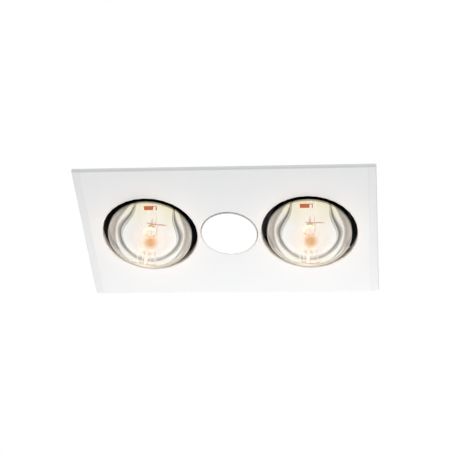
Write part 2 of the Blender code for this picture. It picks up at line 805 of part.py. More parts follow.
# Fan inlet: the plate that closes the scroll, with a bell mouth drawn up into the wheel's eye
BLADE_DEPTH = 0.0106
WHEEL_EYE = WHEEL_RADIUS - BLADE_DEPTH
INLET_SHEET = 0.0012
INLET_GAP = 0.004
INLET_RADIUS = WHEEL_EYE - INLET_GAP
INLET_BEND = 0.008
INLET_HEIGHT = 0.009
INLET_SIDES = 24
INLET_BASE = SCROLL_BASE - SEAT - INLET_SHEET


def fan_inlet():
    outline = scroll_outline(-SCROLL_LIP, INNER_Y - SEAT)
    obj = slab("fan_inlet", [outline], INLET_BASE, INLET_BASE + INLET_SHEET)
    draw_collars(obj, [(0, INLET_RADIUS, INLET_BEND, INLET_HEIGHT)], INLET_SHEET, INLET_BASE, INLET_SIDES)
    return painted(obj, "pale_plastic")


# Fan wheel: forward-curved blades between a back plate and a ring, on a hub
WHEEL_LIFT = 0.004
WHEEL_TOP_GAP = 0.006
WHEEL_BASE = SCROLL_BASE + WHEEL_LIFT
WHEEL_HEIGHT = SCROLL_HEIGHT - WHEEL_LIFT - WHEEL_TOP_GAP
WHEEL_PLATE = 0.0014
WHEEL_RING = 0.0035
WHEEL_RING_HEIGHT = 0.0025
HUB_RADIUS = 0.008
HUB_LENGTH = 0.018
BLADES = 24
BLADE_THICKNESS = 0.0009
BLADE_LEAN = math.radians(9)
BLADE_STEPS = 2
WHEEL_SIDES = 24


def blade_outline():
    """One blade seen from above: it leans forward, the way the wheel turns, towards its tip."""
    tip = WHEEL_RADIUS - WHEEL_RING / 4
    middle = []
    for step in range(BLADE_STEPS + 1):
        t = step / BLADE_STEPS
        radius = WHEEL_EYE + (tip - WHEEL_EYE) * t
        angle = BLADE_LEAN * t**2
        middle.append(Vector((radius * math.cos(angle), radius * math.sin(angle))))
    front = []
    back = []
    for i, point in enumerate(middle):
        along = middle[min(i + 1, BLADE_STEPS)] - middle[max(i - 1, 0)]
        sideways = Vector((-along.y, along.x)).normalized() * BLADE_THICKNESS / 2
        front.append(point + sideways)
        back.append(point - sideways)
    return back + front[::-1]


def fan_wheel():
    plate_base = WHEEL_HEIGHT - WHEEL_PLATE
    bore = SHAFT_RADIUS + SEAT
    profile = [
        (WHEEL_RADIUS, WHEEL_HEIGHT),
        (WHEEL_RADIUS, plate_base),
        (HUB_RADIUS, plate_base),
        (HUB_RADIUS, WHEEL_HEIGHT - HUB_LENGTH),
        (bore, WHEEL_HEIGHT - HUB_LENGTH),
        (bore, WHEEL_HEIGHT),
    ]
    ring = [
        (WHEEL_RADIUS, WHEEL_RING_HEIGHT),
        (WHEEL_RADIUS, 0),
        (WHEEL_RADIUS - WHEEL_RING, 0),
        (WHEEL_RADIUS - WHEEL_RING, WHEEL_RING_HEIGHT),
    ]
    place = (0, 0, WHEEL_BASE)
    obj = turned("fan_wheel", profile, WHEEL_SIDES, closed=True, place=place)
    blade_low = WHEEL_RING_HEIGHT / 2
    blade = slab("blade", [blade_outline()], blade_low, WHEEL_HEIGHT - WHEEL_PLATE / 2)
    bm = bmesh.new()
    for i in range(BLADES):
        bm.from_mesh(blade.data)
        new = bm.verts[i * len(blade.data.vertices) :]
        bmesh.ops.rotate(bm, matrix=Matrix.Rotation(TURN * i / BLADES, 3, "Z"), verts=new)
    bpy.data.objects.remove(blade, do_unlink=True)
    join(obj, from_bmesh("blades", bm, place))
    join(obj, turned("ring", ring, WHEEL_SIDES, closed=True, place=place))
    return painted(obj, "dark_plastic")


# Fan motor: a can with a mounting flange and a bearing boss, on a rubber ring over the scroll
RING_HEIGHT = 0.004
RING_WIDTH = 0.007
MOTOR_RADIUS = 0.034
MOTOR_FLANGE = 0.046
MOTOR_FLANGE_SHEET = 0.0012
MOTOR_TOP_GAP = 0.0016
MOTOR_DOME = 0.004
BOSS_DEPTH = 0.0008
SHAFT_LENGTH = 0.046


def motor_ring():
    outer = MOTOR_FLANGE - MOTOR_FLANGE_SHEET
    low = SCROLL_TOP + SEAT
    profile = [
        (outer, low + RING_HEIGHT),
        (outer, low),
        (outer - RING_WIDTH, low),
        (outer - RING_WIDTH, low + RING_HEIGHT),
    ]
    return painted(turned("motor_ring", profile, 24, closed=True), "rubber")


SHAFT_BASE = WHEEL_BASE + WHEEL_HEIGHT - HUB_LENGTH


def fan_motor():
    flange = SCROLL_TOP + SEAT + RING_HEIGHT + SEAT
    can = flange + MOTOR_FLANGE_SHEET
    top = INNER_TOP - MOTOR_TOP_GAP
    bore = SHAFT_RADIUS + SEAT
    shaft_top = SHAFT_BASE + SHAFT_LENGTH + SEAT
    profile = [
        (0, top),
        (MOTOR_RADIUS - MOTOR_DOME, top),
        (MOTOR_RADIUS, top - MOTOR_DOME),
        (MOTOR_RADIUS, can),
        (MOTOR_FLANGE, can),
        (MOTOR_FLANGE, flange),
        (BOSS_RADIUS, flange),
        (BOSS_RADIUS, SCROLL_TOP - BOSS_DEPTH),
        (bore, SCROLL_TOP - BOSS_DEPTH),
        (bore, shaft_top),
        (0, shaft_top),
    ]
    return painted(turned("fan_motor", profile, 20), "galvanised_steel")


def motor_shaft():
    top = (0, 0, SHAFT_BASE + SHAFT_LENGTH)
    obj = rod("motor_shaft", SHAFT_RADIUS, (0, 0, SHAFT_BASE), top, 16)
    return painted(obj, "zinc_plate")


# Run capacitor: a can that lies on the scroll beside the motor
CAPACITOR_RADIUS = 0.011
CAPACITOR_LENGTH = 0.040
CAPACITOR_ROUND = 0.002
CAPACITOR_BEARING = math.radians(225)


def run_capacitor():
    half = CAPACITOR_LENGTH / 2
    profile = [
        (0, half),
        (CAPACITOR_RADIUS - CAPACITOR_ROUND, half),
        (CAPACITOR_RADIUS, half - CAPACITOR_ROUND),
        (CAPACITOR_RADIUS, -half + CAPACITOR_ROUND),
        (CAPACITOR_RADIUS - CAPACITOR_ROUND, -half),
        (0, -half),
    ]
    reach = MOTOR_FLANGE + CAPACITOR_RADIUS + CAPACITOR_ROUND
    x = reach * math.cos(CAPACITOR_BEARING)
    y = reach * math.sin(CAPACITOR_BEARING)
    obj = turned("run_capacitor", profile, 20, place=(x, y, SCROLL_TOP + SEAT + CAPACITOR_RADIUS))
    obj.rotation_euler = (0, QUARTER, CAPACITOR_BEARING + QUARTER)
    return painted(obj, "grey_plastic")


# Fan bracket: a folded strap between the scroll's top and the housing's roof
FAN_BRACKET_WIDTH = 0.024
FAN_BRACKET_FOOT = 0.018
FAN_BRACKET_GAP = 0.003
FAN_BRACKET_Y = -INNER_Y + FAN_BRACKET_FOOT + FAN_BRACKET_GAP


def fan_bracket():
    low = SCROLL_TOP + SEAT + BRACKET_SHEET / 2
    high = INNER_TOP - SEAT - BRACKET_SHEET / 2
    points = [
        (0, FAN_BRACKET_Y + FAN_BRACKET_FOOT, low),
        (0, FAN_BRACKET_Y, low),
        (0, FAN_BRACKET_Y, high),
        (0, FAN_BRACKET_Y - FAN_BRACKET_FOOT, high),
    ]
    obj = strip("fan_bracket", points, (FAN_BRACKET_WIDTH, 0, 0), BRACKET_SHEET)
    return painted(obj, "galvanised_steel")


# Duct spigot: a round tube on a plate over the outlet, with a bead that keeps the duct on
SPIGOT_WALL = 0.0015
SPIGOT_PLATE = 0.0015
SPIGOT_LENGTH = 0.058
SPIGOT_MARGIN_X = 0.007
SPIGOT_MARGIN_Z = 0.003
SPIGOT_CORNER = 0.008
BEAD_RISE = 0.0012
BEAD_SETBACK = 0.008
BEAD_HALF = 0.002
PIN_RADIUS = 0.0016
PIN_GAP = 0.0003
FLAP_GAP = 0.0025
FLAP_RADIUS = DUCT_RADIUS - SPIGOT_WALL - FLAP_GAP
FLAP_SHEET = 0.001
FLAP_SETBACK = 0.029
PIVOT_RISE = 0.012
KNUCKLE_RADIUS = 0.003
STOP_HEIGHT = 0.005
STOP_WIDTH = 0.012
STOP_THICKNESS = 0.002
SPIGOT_Y = HOUSING_WIDTH / 2
SPIGOT_SIDES = 28


def duct_spigot():
    """Built along +Z and laid over, so that its tube runs along +Y and the object's +Y points down."""
    bore = DUCT_RADIUS - SPIGOT_WALL
    middle = (DUCT_RADIUS + bore) / 2
    bead = SPIGOT_LENGTH - BEAD_SETBACK
    plate_length = 2 * (DUCT_RADIUS + SPIGOT_MARGIN_X)
    plate = rounded_rectangle(plate_length, 2 * (DUCT_RADIUS + SPIGOT_MARGIN_Z), SPIGOT_CORNER)
    obj = slab("duct_spigot", [plate], SEAT, SEAT + SPIGOT_PLATE)
    profile = [
        (0, SPIGOT_LENGTH),
        (DUCT_RADIUS, SPIGOT_LENGTH),
        (DUCT_RADIUS, bead + BEAD_HALF),
        (DUCT_RADIUS + BEAD_RISE, bead),
        (DUCT_RADIUS, bead - BEAD_HALF),
        (DUCT_RADIUS, SEAT + SPIGOT_PLATE / 2),
        (0, SEAT + SPIGOT_PLATE / 2),
    ]
    join(obj, turned("tube", profile, SPIGOT_SIDES))
    cut(obj, rod("bore", bore, (0, 0, -OVERRUN), (0, 0, SPIGOT_LENGTH + OVERRUN), SPIGOT_SIDES))
    stop_high = FLAP_SETBACK - FLAP_SHEET / 2 - SEAT
    stop_low = (-STOP_WIDTH / 2, bore - STOP_HEIGHT, stop_high - STOP_THICKNESS)
    join(obj, block("stop", stop_low, (STOP_WIDTH / 2, middle, stop_high)))
    pin_start = (-DUCT_RADIUS - OVERRUN, -PIVOT_RISE, FLAP_SETBACK)
    pin_end = (DUCT_RADIUS + OVERRUN, -PIVOT_RISE, FLAP_SETBACK)
    cut(obj, rod("pin_holes", PIN_RADIUS + PIN_GAP, pin_start, pin_end, 12))
    for tool in [modifier.object for modifier in obj.modifiers]:
        tool.parent = obj
    obj.location = (OUTLET_X, SPIGOT_Y, OUTLET_Z)
    obj.rotation_euler = (-QUARTER, 0, 0)
    return painted(obj, "pale_plastic")


def draught_flap():
    """A disc that hangs from a pin above its middle, so that its own weight closes it."""
    place = (OUTLET_X, SPIGOT_Y + FLAP_SETBACK, OUTLET_Z + PIVOT_RISE)
    half_pin = math.sqrt(DUCT_RADIUS**2 - PIVOT_RISE**2)
    half_knuckle = math.sqrt(FLAP_RADIUS**2 - PIVOT_RISE**2) - KNUCKLE_RADIUS
    back = (0, -FLAP_SHEET / 2, -PIVOT_RISE)
    front = (0, FLAP_SHEET / 2, -PIVOT_RISE)
    obj = rod("draught_flap", FLAP_RADIUS, back, front, SPIGOT_SIDES, place)
    join(obj, rod("knuckle", KNUCKLE_RADIUS, (-half_knuckle, 0, 0), (half_knuckle, 0, 0), 12, place))
    join(obj, rod("pin", PIN_RADIUS, (-half_pin, 0, 0), (half_pin, 0, 0), 12, place))
    return painted(obj, "grey_plastic")


# Light: a strap across the mouth carries a finned heat sink, and below it the board, bezel and diffuser
LIGHT_STRAP_WIDTH = 0.030
LIGHT_STRAP_LEG = 0.016
SINK_MARGIN = 0.0025
SINK_RADIUS = LIGHT_RADIUS - SINK_MARGIN
SINK_BASE = 0.001
SINK_PLATE = 0.003
SINK_HUB = 0.012
FINS = 16
FIN_HEIGHT = 0.0167
FIN_THICKNESS = 0.0016
SINK_TOP = SINK_BASE + SINK_PLATE + FIN_HEIGHT
BOARD_MARGIN = 0.0055
BOARD_RADIUS = LIGHT_RADIUS - BOARD_MARGIN
LIGHT_SIDES = 28
BOARD_THICKNESS = 0.0016
BEZEL_DROP = 0.001
BEZEL_FACE = 0.0022
BEZEL_WALL = 0.0012
BEZEL_LIP = 0.001
DIFFUSER_FLANGE = 0.001
DIFFUSER_BULGE = 0.001
BULGE_MIDDLE_SHARE = 0.75


def led_bracket():
    y = INNER_Y - SEAT - BRACKET_SHEET / 2
    z = SINK_TOP + SEAT + BRACKET_SHEET / 2
    points = [(0, -y, z - LIGHT_STRAP_LEG), (0, -y, z), (0, y, z), (0, y, z - LIGHT_STRAP_LEG)]
    obj = strip("led_bracket", points, (LIGHT_STRAP_WIDTH, 0, 0), BRACKET_SHEET)
    return painted(obj, "galvanised_steel")


def led_heat_sink():
    plate_top = SINK_BASE + SINK_PLATE
    profile = [
        (0, SINK_TOP),
        (SINK_HUB, SINK_TOP),
        (SINK_HUB, plate_top),
        (SINK_RADIUS, plate_top),
        (SINK_RADIUS, SINK_BASE),
        (0, SINK_BASE),
    ]
    obj = turned("led_heat_sink", profile, LIGHT_SIDES)
    bm = bmesh.new()
    for i in range(FINS):
        low = (SINK_HUB - FIN_THICKNESS, -FIN_THICKNESS / 2, plate_top - SINK_PLATE / 2)
        high = (SINK_RADIUS - FIN_THICKNESS, FIN_THICKNESS / 2, SINK_TOP - SEAT)
        fin = block_between(bm, low, high)
        bearing = TURN * (i + 1 / 2) / FINS
        bmesh.ops.rotate(bm, matrix=Matrix.Rotation(bearing, 3, "Z"), verts=fin)
    join(obj, from_bmesh("fins", bm))
    return painted(obj, "cast_aluminium")


def led_board():
    top = SINK_BASE - SEAT
    obj = rod("led_board", BOARD_RADIUS, (0, 0, top - BOARD_THICKNESS), (0, 0, top), LIGHT_SIDES)
    return painted(obj, "board_white")


def light_bezel():
    top = SINK_BASE - SEAT
    face = FACE - BEZEL_DROP
    wall = LIGHT_RADIUS - BEZEL_WALL
    shelf = BOARD_RADIUS + BEZEL_WALL
    profile = [
        (LIGHT_RADIUS, top),
        (LIGHT_RADIUS, face),
        (LIGHT_RADIUS - BEZEL_FACE, face),
        (LIGHT_RADIUS - BEZEL_FACE, face + BEZEL_LIP),
        (wall, face + BEZEL_LIP),
        (wall, top - BEZEL_WALL),
        (shelf, top - BEZEL_WALL),
        (shelf, top),
    ]
    return painted(turned("light_bezel", profile, LIGHT_SIDES, closed=True), "pale_plastic")


def light_diffuser():
    low = FACE - BEZEL_DROP
    seat = low + BEZEL_LIP + SEAT
    face_radius = LIGHT_RADIUS - BEZEL_FACE - SEAT
    flange_radius = LIGHT_RADIUS - BEZEL_WALL - SEAT
    profile = [
        (0, seat + DIFFUSER_FLANGE),
        (flange_radius, seat + DIFFUSER_FLANGE),
        (flange_radius, seat),
        (face_radius, seat),
        (face_radius, low),
        (face_radius / 2, low - DIFFUSER_BULGE * BULGE_MIDDLE_SHARE),
        (0, low - DIFFUSER_BULGE),
    ]
    return painted(turned("light_diffuser", profile, LIGHT_SIDES), "opal")


# Light driver: a moulded box with two fixing ears, on the wall below the scroll
DRIVER_LENGTH = 0.110
DRIVER_DEPTH = 0.025
DRIVER_HEIGHT = 0.030
DRIVER_DROP = 0.033
DRIVER_Z = SCROLL_BASE - DRIVER_DROP
DRIVER_ROUND = 0.003
DRIVER_EAR = 0.010
DRIVER_EAR_SHEET = 0.003


def led_driver():
    back = -INNER_Y + SEAT
    low = (-DRIVER_LENGTH / 2, back, DRIVER_Z - DRIVER_HEIGHT / 2)
    high = (DRIVER_LENGTH / 2, back + DRIVER_DEPTH, DRIVER_Z + DRIVER_HEIGHT / 2)
    obj = rounded(block("led_driver", low, high), DRIVER_ROUND)
    ear_low = (-DRIVER_LENGTH / 2 - DRIVER_EAR, back, DRIVER_Z - DRIVER_EAR)
    ear_high = (DRIVER_LENGTH / 2 + DRIVER_EAR, back + DRIVER_EAR_SHEET, DRIVER_Z + DRIVER_EAR)
    join(obj, block("ears", ear_low, ear_high))
    return painted(obj, "dark_plastic")


# Terminal block and its cover, on the short wall beside the left lamp holder
TERMINAL_LENGTH = 0.070
TERMINAL_DEPTH = 0.018
TERMINAL_HEIGHT = 0.022
TERMINAL_DROP = 0.036
TERMINAL_Z = CABLE_Z - TERMINAL_DROP
POLES = 5
POLE_WALL = 0.0025
POLE_DEPTH = 0.006
COVER_WALL = 0.0015
COVER_GAP = 0.002


def terminal_block():
    back = -INNER_X + SEAT
    half = TERMINAL_HEIGHT / 2
    low = (back, -TERMINAL_LENGTH / 2, TERMINAL_Z - half)
    high = (back + TERMINAL_DEPTH, TERMINAL_LENGTH / 2, TERMINAL_Z + half)
    obj = block("terminal_block", low, high)
    pitch = TERMINAL_LENGTH / POLES
    tools = bmesh.new()
    for pole in range(POLES):
        start = -TERMINAL_LENGTH / 2 + pole * pitch + POLE_WALL / 2
        pocket_low = (back + TERMINAL_DEPTH - POLE_DEPTH, start, TERMINAL_Z - half + POLE_WALL)
        pocket_top = TERMINAL_Z + half - POLE_WALL
        pocket_high = (back + TERMINAL_DEPTH + OVERRUN, start + pitch - POLE_WALL, pocket_top)
        block_between(tools, pocket_low, pocket_high)
    cut(obj, from_bmesh("poles", tools))
    return painted(obj, "pale_plastic")


def terminal_cover():
    """A cap over the block, open towards the wall and above, where the leads come in."""
    back = -INNER_X + SEAT
    half_length = TERMINAL_LENGTH / 2 + COVER_GAP
    low_z = TERMINAL_Z - TERMINAL_HEIGHT / 2 - SEAT
    front = back + TERMINAL_DEPTH + COVER_GAP
    low = (back, -half_length - COVER_WALL, low_z - COVER_WALL)
    high_z = TERMINAL_Z + TERMINAL_HEIGHT / 2 + COVER_GAP
    obj = block("terminal_cover", low, (front + COVER_WALL, half_length + COVER_WALL, high_z))
    inside_low = (back - OVERRUN, -half_length, low_z)
    cut(obj, block("inside", inside_low, (front, half_length, high_z + OVERRUN)))
    return painted(obj, "grey_plastic")


# Internal leads: flexes with their own routes through the box, square to what they meet at both ends
LEAD_RADIUS = 0.0018
LEAD_SPACING = 0.018
LEAD_STUB = 0.006
LEAD_START_X = -INNER_X + TERMINAL_DEPTH / 2
LEAD_START_Z = TERMINAL_Z + TERMINAL_HEIGHT / 2 + SEAT
LEAD_POLES = {"motor": 0.020, "left": 0.004, "right": -0.020, "led": -0.031}
HOLDER_ENTRY_X = LAMP_X + HOLDER_CROWN_RADIUS + SEAT
HOLDER_ENTRY_Z = (CROWN_BASE + HOLDER_TOP) / 2
MOTOR_ENTRY_X = -MOTOR_RADIUS - SEAT
MOTOR_ENTRY_RISE = 0.018
MOTOR_ENTRY_Z = SCROLL_TOP + MOTOR_ENTRY_RISE
DRIVER_ENTRY_X = DRIVER_LENGTH / 2 + SEAT
DRIVER_ENTRY_Y = -INNER_Y + SEAT + DRIVER_DEPTH / 2
SINK_ENTRY = math.radians(-34)
SINK_ENTRY_Z = SINK_BASE + SINK_PLATE / 2
ROOF_RUN = INNER_TOP - 0.008
WALL_RUN = -INNER_Y + 0.007
SHOULDER_RUN = -INNER_Y + 0.012


def sink_entry(reach):
    """A point beside the heat sink's plate, as far out from its edge as reach."""
    radius = SINK_RADIUS + SEAT + reach
    return (radius * math.cos(SINK_ENTRY), radius * math.sin(SINK_ENTRY), SINK_ENTRY_Z)


def from_pole(pole):
    """A lead's first two points, straight up from its pole of the terminal block."""
    y = LEAD_POLES[pole]
    return [(LEAD_START_X, y, LEAD_START_Z), (LEAD_START_X, y, LEAD_START_Z + LEAD_STUB)]


def between(start, end, shares):
    """A point whose x, y and z lie at these shares of the way from start to end."""
    return tuple(a + (b - a) * share for a, b, share in zip(start, end, shares))


def into(x, y, z, stub):
    """A lead's last two points, square to the face that it enters."""
    return [(x + stub, y, z), (x, y, z)]


LEFT_START = from_pole("left")
LEFT_END = into(-HOLDER_ENTRY_X, 0, HOLDER_ENTRY_Z, -LEAD_STUB)
SUPPLY_START = from_pole("led")
SUPPLY_END = into(-DRIVER_ENTRY_X, DRIVER_ENTRY_Y, DRIVER_Z, -LEAD_STUB)
SINK_START = [
    (DRIVER_ENTRY_X, DRIVER_ENTRY_Y, DRIVER_Z),
    (DRIVER_ENTRY_X + LEAD_STUB, DRIVER_ENTRY_Y, DRIVER_Z),
]
SINK_END = [sink_entry(LEAD_STUB), sink_entry(0)]
LEADS = {
    "lamp_lead_left": [
        *LEFT_START,
        between(LEFT_START[1], LEFT_END[0], (0.22, 0.2, 0.72)),
        between(LEFT_START[1], LEFT_END[0], (0.62, 0.5, 1.04)),
        *LEFT_END,
    ],
    "lamp_lead_right": [
        *from_pole("right"),
        (-INNER_X + 0.020, -0.036, ROOF_RUN - 0.005),
        (-INNER_X + 0.052, SHOULDER_RUN + 0.018, ROOF_RUN),
        (-INNER_X + 0.112, SHOULDER_RUN, ROOF_RUN),
        (0, SHOULDER_RUN - 0.002, ROOF_RUN - 0.002),
        (INNER_X - 0.102, SHOULDER_RUN, ROOF_RUN),
        (INNER_X - 0.050, SHOULDER_RUN + 0.016, ROOF_RUN),
        (HOLDER_ENTRY_X + 0.026, -0.034, ROOF_RUN - 0.004),
        (HOLDER_ENTRY_X + 0.020, -0.008, HOLDER_ENTRY_Z + 0.001),
        *into(HOLDER_ENTRY_X, 0, HOLDER_ENTRY_Z, LEAD_STUB),
    ],
    "motor_lead": [
        *from_pole("motor"),
        (-INNER_X + 0.020, 0.034, ROOF_RUN - 0.016),
        (-INNER_X + 0.042, 0.046, ROOF_RUN - 0.001),
        (-LAMP_X - 0.002, 0.048, ROOF_RUN + 0.001),
        (-LAMP_X + 0.032, 0.030, ROOF_RUN),
        (MOTOR_ENTRY_X - 0.026, 0.010, MOTOR_ENTRY_Z + 0.002),
        *into(MOTOR_ENTRY_X, 0, MOTOR_ENTRY_Z, -LEAD_STUB),
    ],
    "led_supply_lead": [
        *SUPPLY_START,
        (LEAD_START_X + 0.007, (LEAD_POLES["led"] + DRIVER_ENTRY_Y) / 2, LEAD_START_Z + 0.006),
        (LEAD_START_X + 0.009, WALL_RUN + 0.013, LEAD_START_Z - 0.012),
        between(SUPPLY_START[1], (SUPPLY_END[0][0], WALL_RUN, DRIVER_Z), (0.12, 1, 0.58)),
        between(SUPPLY_START[1], (SUPPLY_END[0][0], WALL_RUN, DRIVER_Z), (0.35, 1, 0.89)),
        between(SUPPLY_START[1], SUPPLY_END[0], (0.68, 1.04, 0.99)),
        *SUPPLY_END,
    ],
    "led_lead": [
        *SINK_START,
        between(SINK_START[1], SINK_END[0], (-0.27, 0.15, 0.22)),
        between(SINK_START[1], SINK_END[0], (-0.20, 0.44, 0.61)),
        between(SINK_START[1], SINK_END[0], (0.38, 0.76, 0.88)),
        *SINK_END,
    ],
}


def internal_lead(name):
    finish = "lead_white" if name.startswith("led") else "lead_brown"
    return painted(wire(name, smooth_route(LEADS[name], LEAD_SPACING), LEAD_RADIUS), finish)


# End brackets: a web on each short wall, with an ear under and over each clamp screw
EAR_SHEET = 0.0012
EAR_REACH = 0.022
EAR_HALF = 0.008
EAR_LOW = 0.0021
EAR_HIGH = 0.049
SCREW_RADIUS = 0.002
SCREW_GAP = 0.0003


def end_bracket(side, sx):
    """A channel with its open side inward, cut away between the screws so that only the ears stay."""
    web = sx * (INNER_X - SEAT - EAR_SHEET / 2)
    inward = web - sx * EAR_REACH
    points = [(inward, 0, EAR_LOW), (web, 0, EAR_LOW), (web, 0, EAR_HIGH), (inward, 0, EAR_HIGH)]
    length = 2 * (CLAMP_Y + EAR_HALF)
    obj = strip(f"end_bracket_{side}", points, (0, length, 0), EAR_SHEET)
    free = CLAMP_Y - EAR_HALF
    span = sorted((inward - sx * OVERRUN, web - sx * EAR_SHEET / 2))
    gap_low = (span[0], -free, EAR_LOW - OVERRUN)
    cut(obj, block("between_ears", gap_low, (span[1], free, EAR_HIGH + OVERRUN)))
    for sy in SIDES.values():
        foot = (sx * CLAMP_X, sy * CLAMP_Y, EAR_LOW - OVERRUN)
        top = (sx * CLAMP_X, sy * CLAMP_Y, EAR_HIGH + OVERRUN)
        cut(obj, rod("screw_holes", SCREW_RADIUS + SCREW_GAP, foot, top, 12))
    return painted(obj, "galvanised_steel")


# Ceiling clamps: a captive screw, a nut that travels on it and an arm that swings out over the ceiling
HEAD_RADIUS = 0.0038
HEAD_HEIGHT = 0.0028
COLLAR_RADIUS = 0.0032
COLLAR_HEIGHT = 0.0012
SCREW_PAST_EAR = 0.003
ARM_SHEET = 0.0015
ARM_LIP = 0.003
ARM_LIP_SHEET = 0.0012
ARM_TOP_GAP = 0.0003
NUT_HALF = 0.004
NUT_HEIGHT = 0.0035
NUT_COLLAR = 0.0033
NUT_FLANGE = 0.0044
NUT_FLANGE_HEIGHT = 0.001
ARM_END_STEPS = 4
CLAMP_SIDES = 8


def clamp_screw(number, sx, sy):
    head_top = EAR_LOW - EAR_SHEET / 2 - SEAT
    collar_base = EAR_LOW + EAR_SHEET / 2 + SEAT
    profile = [
        (0, EAR_HIGH + EAR_SHEET / 2 + SCREW_PAST_EAR),
        (SCREW_RADIUS, EAR_HIGH + EAR_SHEET / 2 + SCREW_PAST_EAR),
        (SCREW_RADIUS, collar_base + COLLAR_HEIGHT),
        (COLLAR_RADIUS, collar_base + COLLAR_HEIGHT),
        (COLLAR_RADIUS, collar_base),
        (SCREW_RADIUS, collar_base),
        (SCREW_RADIUS, head_top),
        (HEAD_RADIUS, head_top),
        (HEAD_RADIUS - HEAD_HEIGHT / 2, head_top - HEAD_HEIGHT),
        (0, head_top - HEAD_HEIGHT),
    ]
    obj = turned(f"clamp_screw_{number}", profile, CLAMP_SIDES, place=(sx * CLAMP_X, sy * CLAMP_Y, 0))
    return painted(obj, "zinc_plate")


def clamp_nut(number, sx, sy):
    """A square nut over the arm, whose collar passes through the arm and ends in a flange below it."""
    body_base = CEILING_BOARD + ARM_SHEET + ARM_TOP_GAP
    flange_top = CEILING_BOARD - ARM_TOP_GAP
    place = (sx * CLAMP_X, sy * CLAMP_Y, 0)
    bore = SCREW_RADIUS + SCREW_GAP
    profile = [
        (NUT_COLLAR, body_base + NUT_HEIGHT / 2),
        (NUT_COLLAR, flange_top),
        (NUT_FLANGE, flange_top),
        (NUT_FLANGE, flange_top - NUT_FLANGE_HEIGHT),
        (bore, flange_top - NUT_FLANGE_HEIGHT),
        (bore, body_base + NUT_HEIGHT / 2),
    ]
    obj = turned(f"clamp_nut_{number}", profile, CLAMP_SIDES, closed=True, place=place)
    body_top = body_base + NUT_HEIGHT
    join(obj, block("nut", (-NUT_HALF, -NUT_HALF, body_base), (NUT_HALF, NUT_HALF, body_top), place))
    bore_base = (0, 0, body_base - OVERRUN)
    cut(obj, rod("bore", bore, bore_base, (0, 0, body_top + OVERRUN), CLAMP_SIDES, place))
    return painted(obj, "zinc_plate")


def clamp_arm(number, sx, sy):
    """A strip with round ends and two turned-up lips, pointing out over the ceiling at rest."""
    place = (sx * CLAMP_X, sy * CLAMP_Y, 0)
    straight = ARM_LENGTH - ARM_HALF_WIDTH
    outline = []
    for end, centre in ((0, straight), (1, 0)):
        for step in range(ARM_END_STEPS + 1):
            angle = TURN / 2 * (end + step / ARM_END_STEPS)
            y = centre + ARM_HALF_WIDTH * math.sin(angle)
            outline.append((ARM_HALF_WIDTH * math.cos(angle), y))
    hole = circle(NUT_COLLAR + SCREW_GAP, CLAMP_SIDES)
    obj = slab(f"clamp_arm_{number}", [outline, hole], CEILING_BOARD, CEILING_BOARD + ARM_SHEET, place)
    for lip in SIDES.values():
        across = sorted((lip * ARM_HALF_WIDTH, lip * (ARM_HALF_WIDTH - ARM_LIP_SHEET)))
        low = (across[0], ARM_HALF_WIDTH, CEILING_BOARD)
        high = (across[1], straight, CEILING_BOARD + ARM_SHEET + ARM_LIP)
        join(obj, block("lip", low, high, place))
    for tool in [modifier.object for modifier in obj.modifiers]:
        tool.parent = obj
        tool.location = (0, 0, 0)
    obj.rotation_euler = (0, 0, 0 if sy > 0 else TURN / 2)
    return painted(obj, "zinc_plate")


def settle():
    """Each part as one plain mesh, smooth over its rounds and sharp at its edges."""
    bpy.context.view_layer.update()
    graph = bpy.context.evaluated_depsgraph_get()
    made = {obj: bpy.data.meshes.new_from_object(obj.evaluated_get(graph)) for obj in PARTS.objects}
    for obj, mesh in made.items():
        obj.modifiers.clear()
        obj.data = mesh
        mesh.shade_smooth()
        mesh.set_sharp_from_angle(angle=SHARP_ANGLE)


def build():
    fascia()
    housing()
    cable_grommet()
    for number, (sx, sy) in CORNERS.items():
        fascia_clip(number, sx, sy)
        clamp_screw(number, sx, sy)
        clamp_nut(number, sx, sy)
        clamp_arm(number, sx, sy)
    for side, sign in SIDES.items():
        for make in (lamp_glass, lamp_cap, lamp_filament, lamp_mount):
            make(side, sign * LAMP_X)
        for make in (lamp_holder, holder_sleeve, holder_contact, lamp_bracket):
            make(side, sign * LAMP_X)
        end_bracket(side, sign)
    for make in (fan_scroll, fan_inlet, fan_wheel, motor_ring, fan_motor, motor_shaft):
        make()
    for make in (run_capacitor, fan_bracket, duct_spigot, draught_flap):
        make()
    for make in (led_bracket, led_heat_sink, led_board, light_bezel, light_diffuser, led_driver):
        make()
    for make in (terminal_block, terminal_cover):
        make()
    for name in LEADS:
        internal_lead(name)
    settle()


build()
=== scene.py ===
# %% [markdown]
# # A bathroom ceiling heater, dressed from its own frame
# The imported model holds every solid of the heater in its place: fascia, two heat lamps, light, fan and
# ceiling clamps. This lesson loads it, leaves its shapes alone and gives each solid a finish. A few pieces
# are made again with finer curves, because light runs along them: the lamps most of all. The box of the
# untouched model is kept.

# %% Load the frame
import math

import bmesh
import bpy
from mathutils import Matrix, Quaternion, Vector


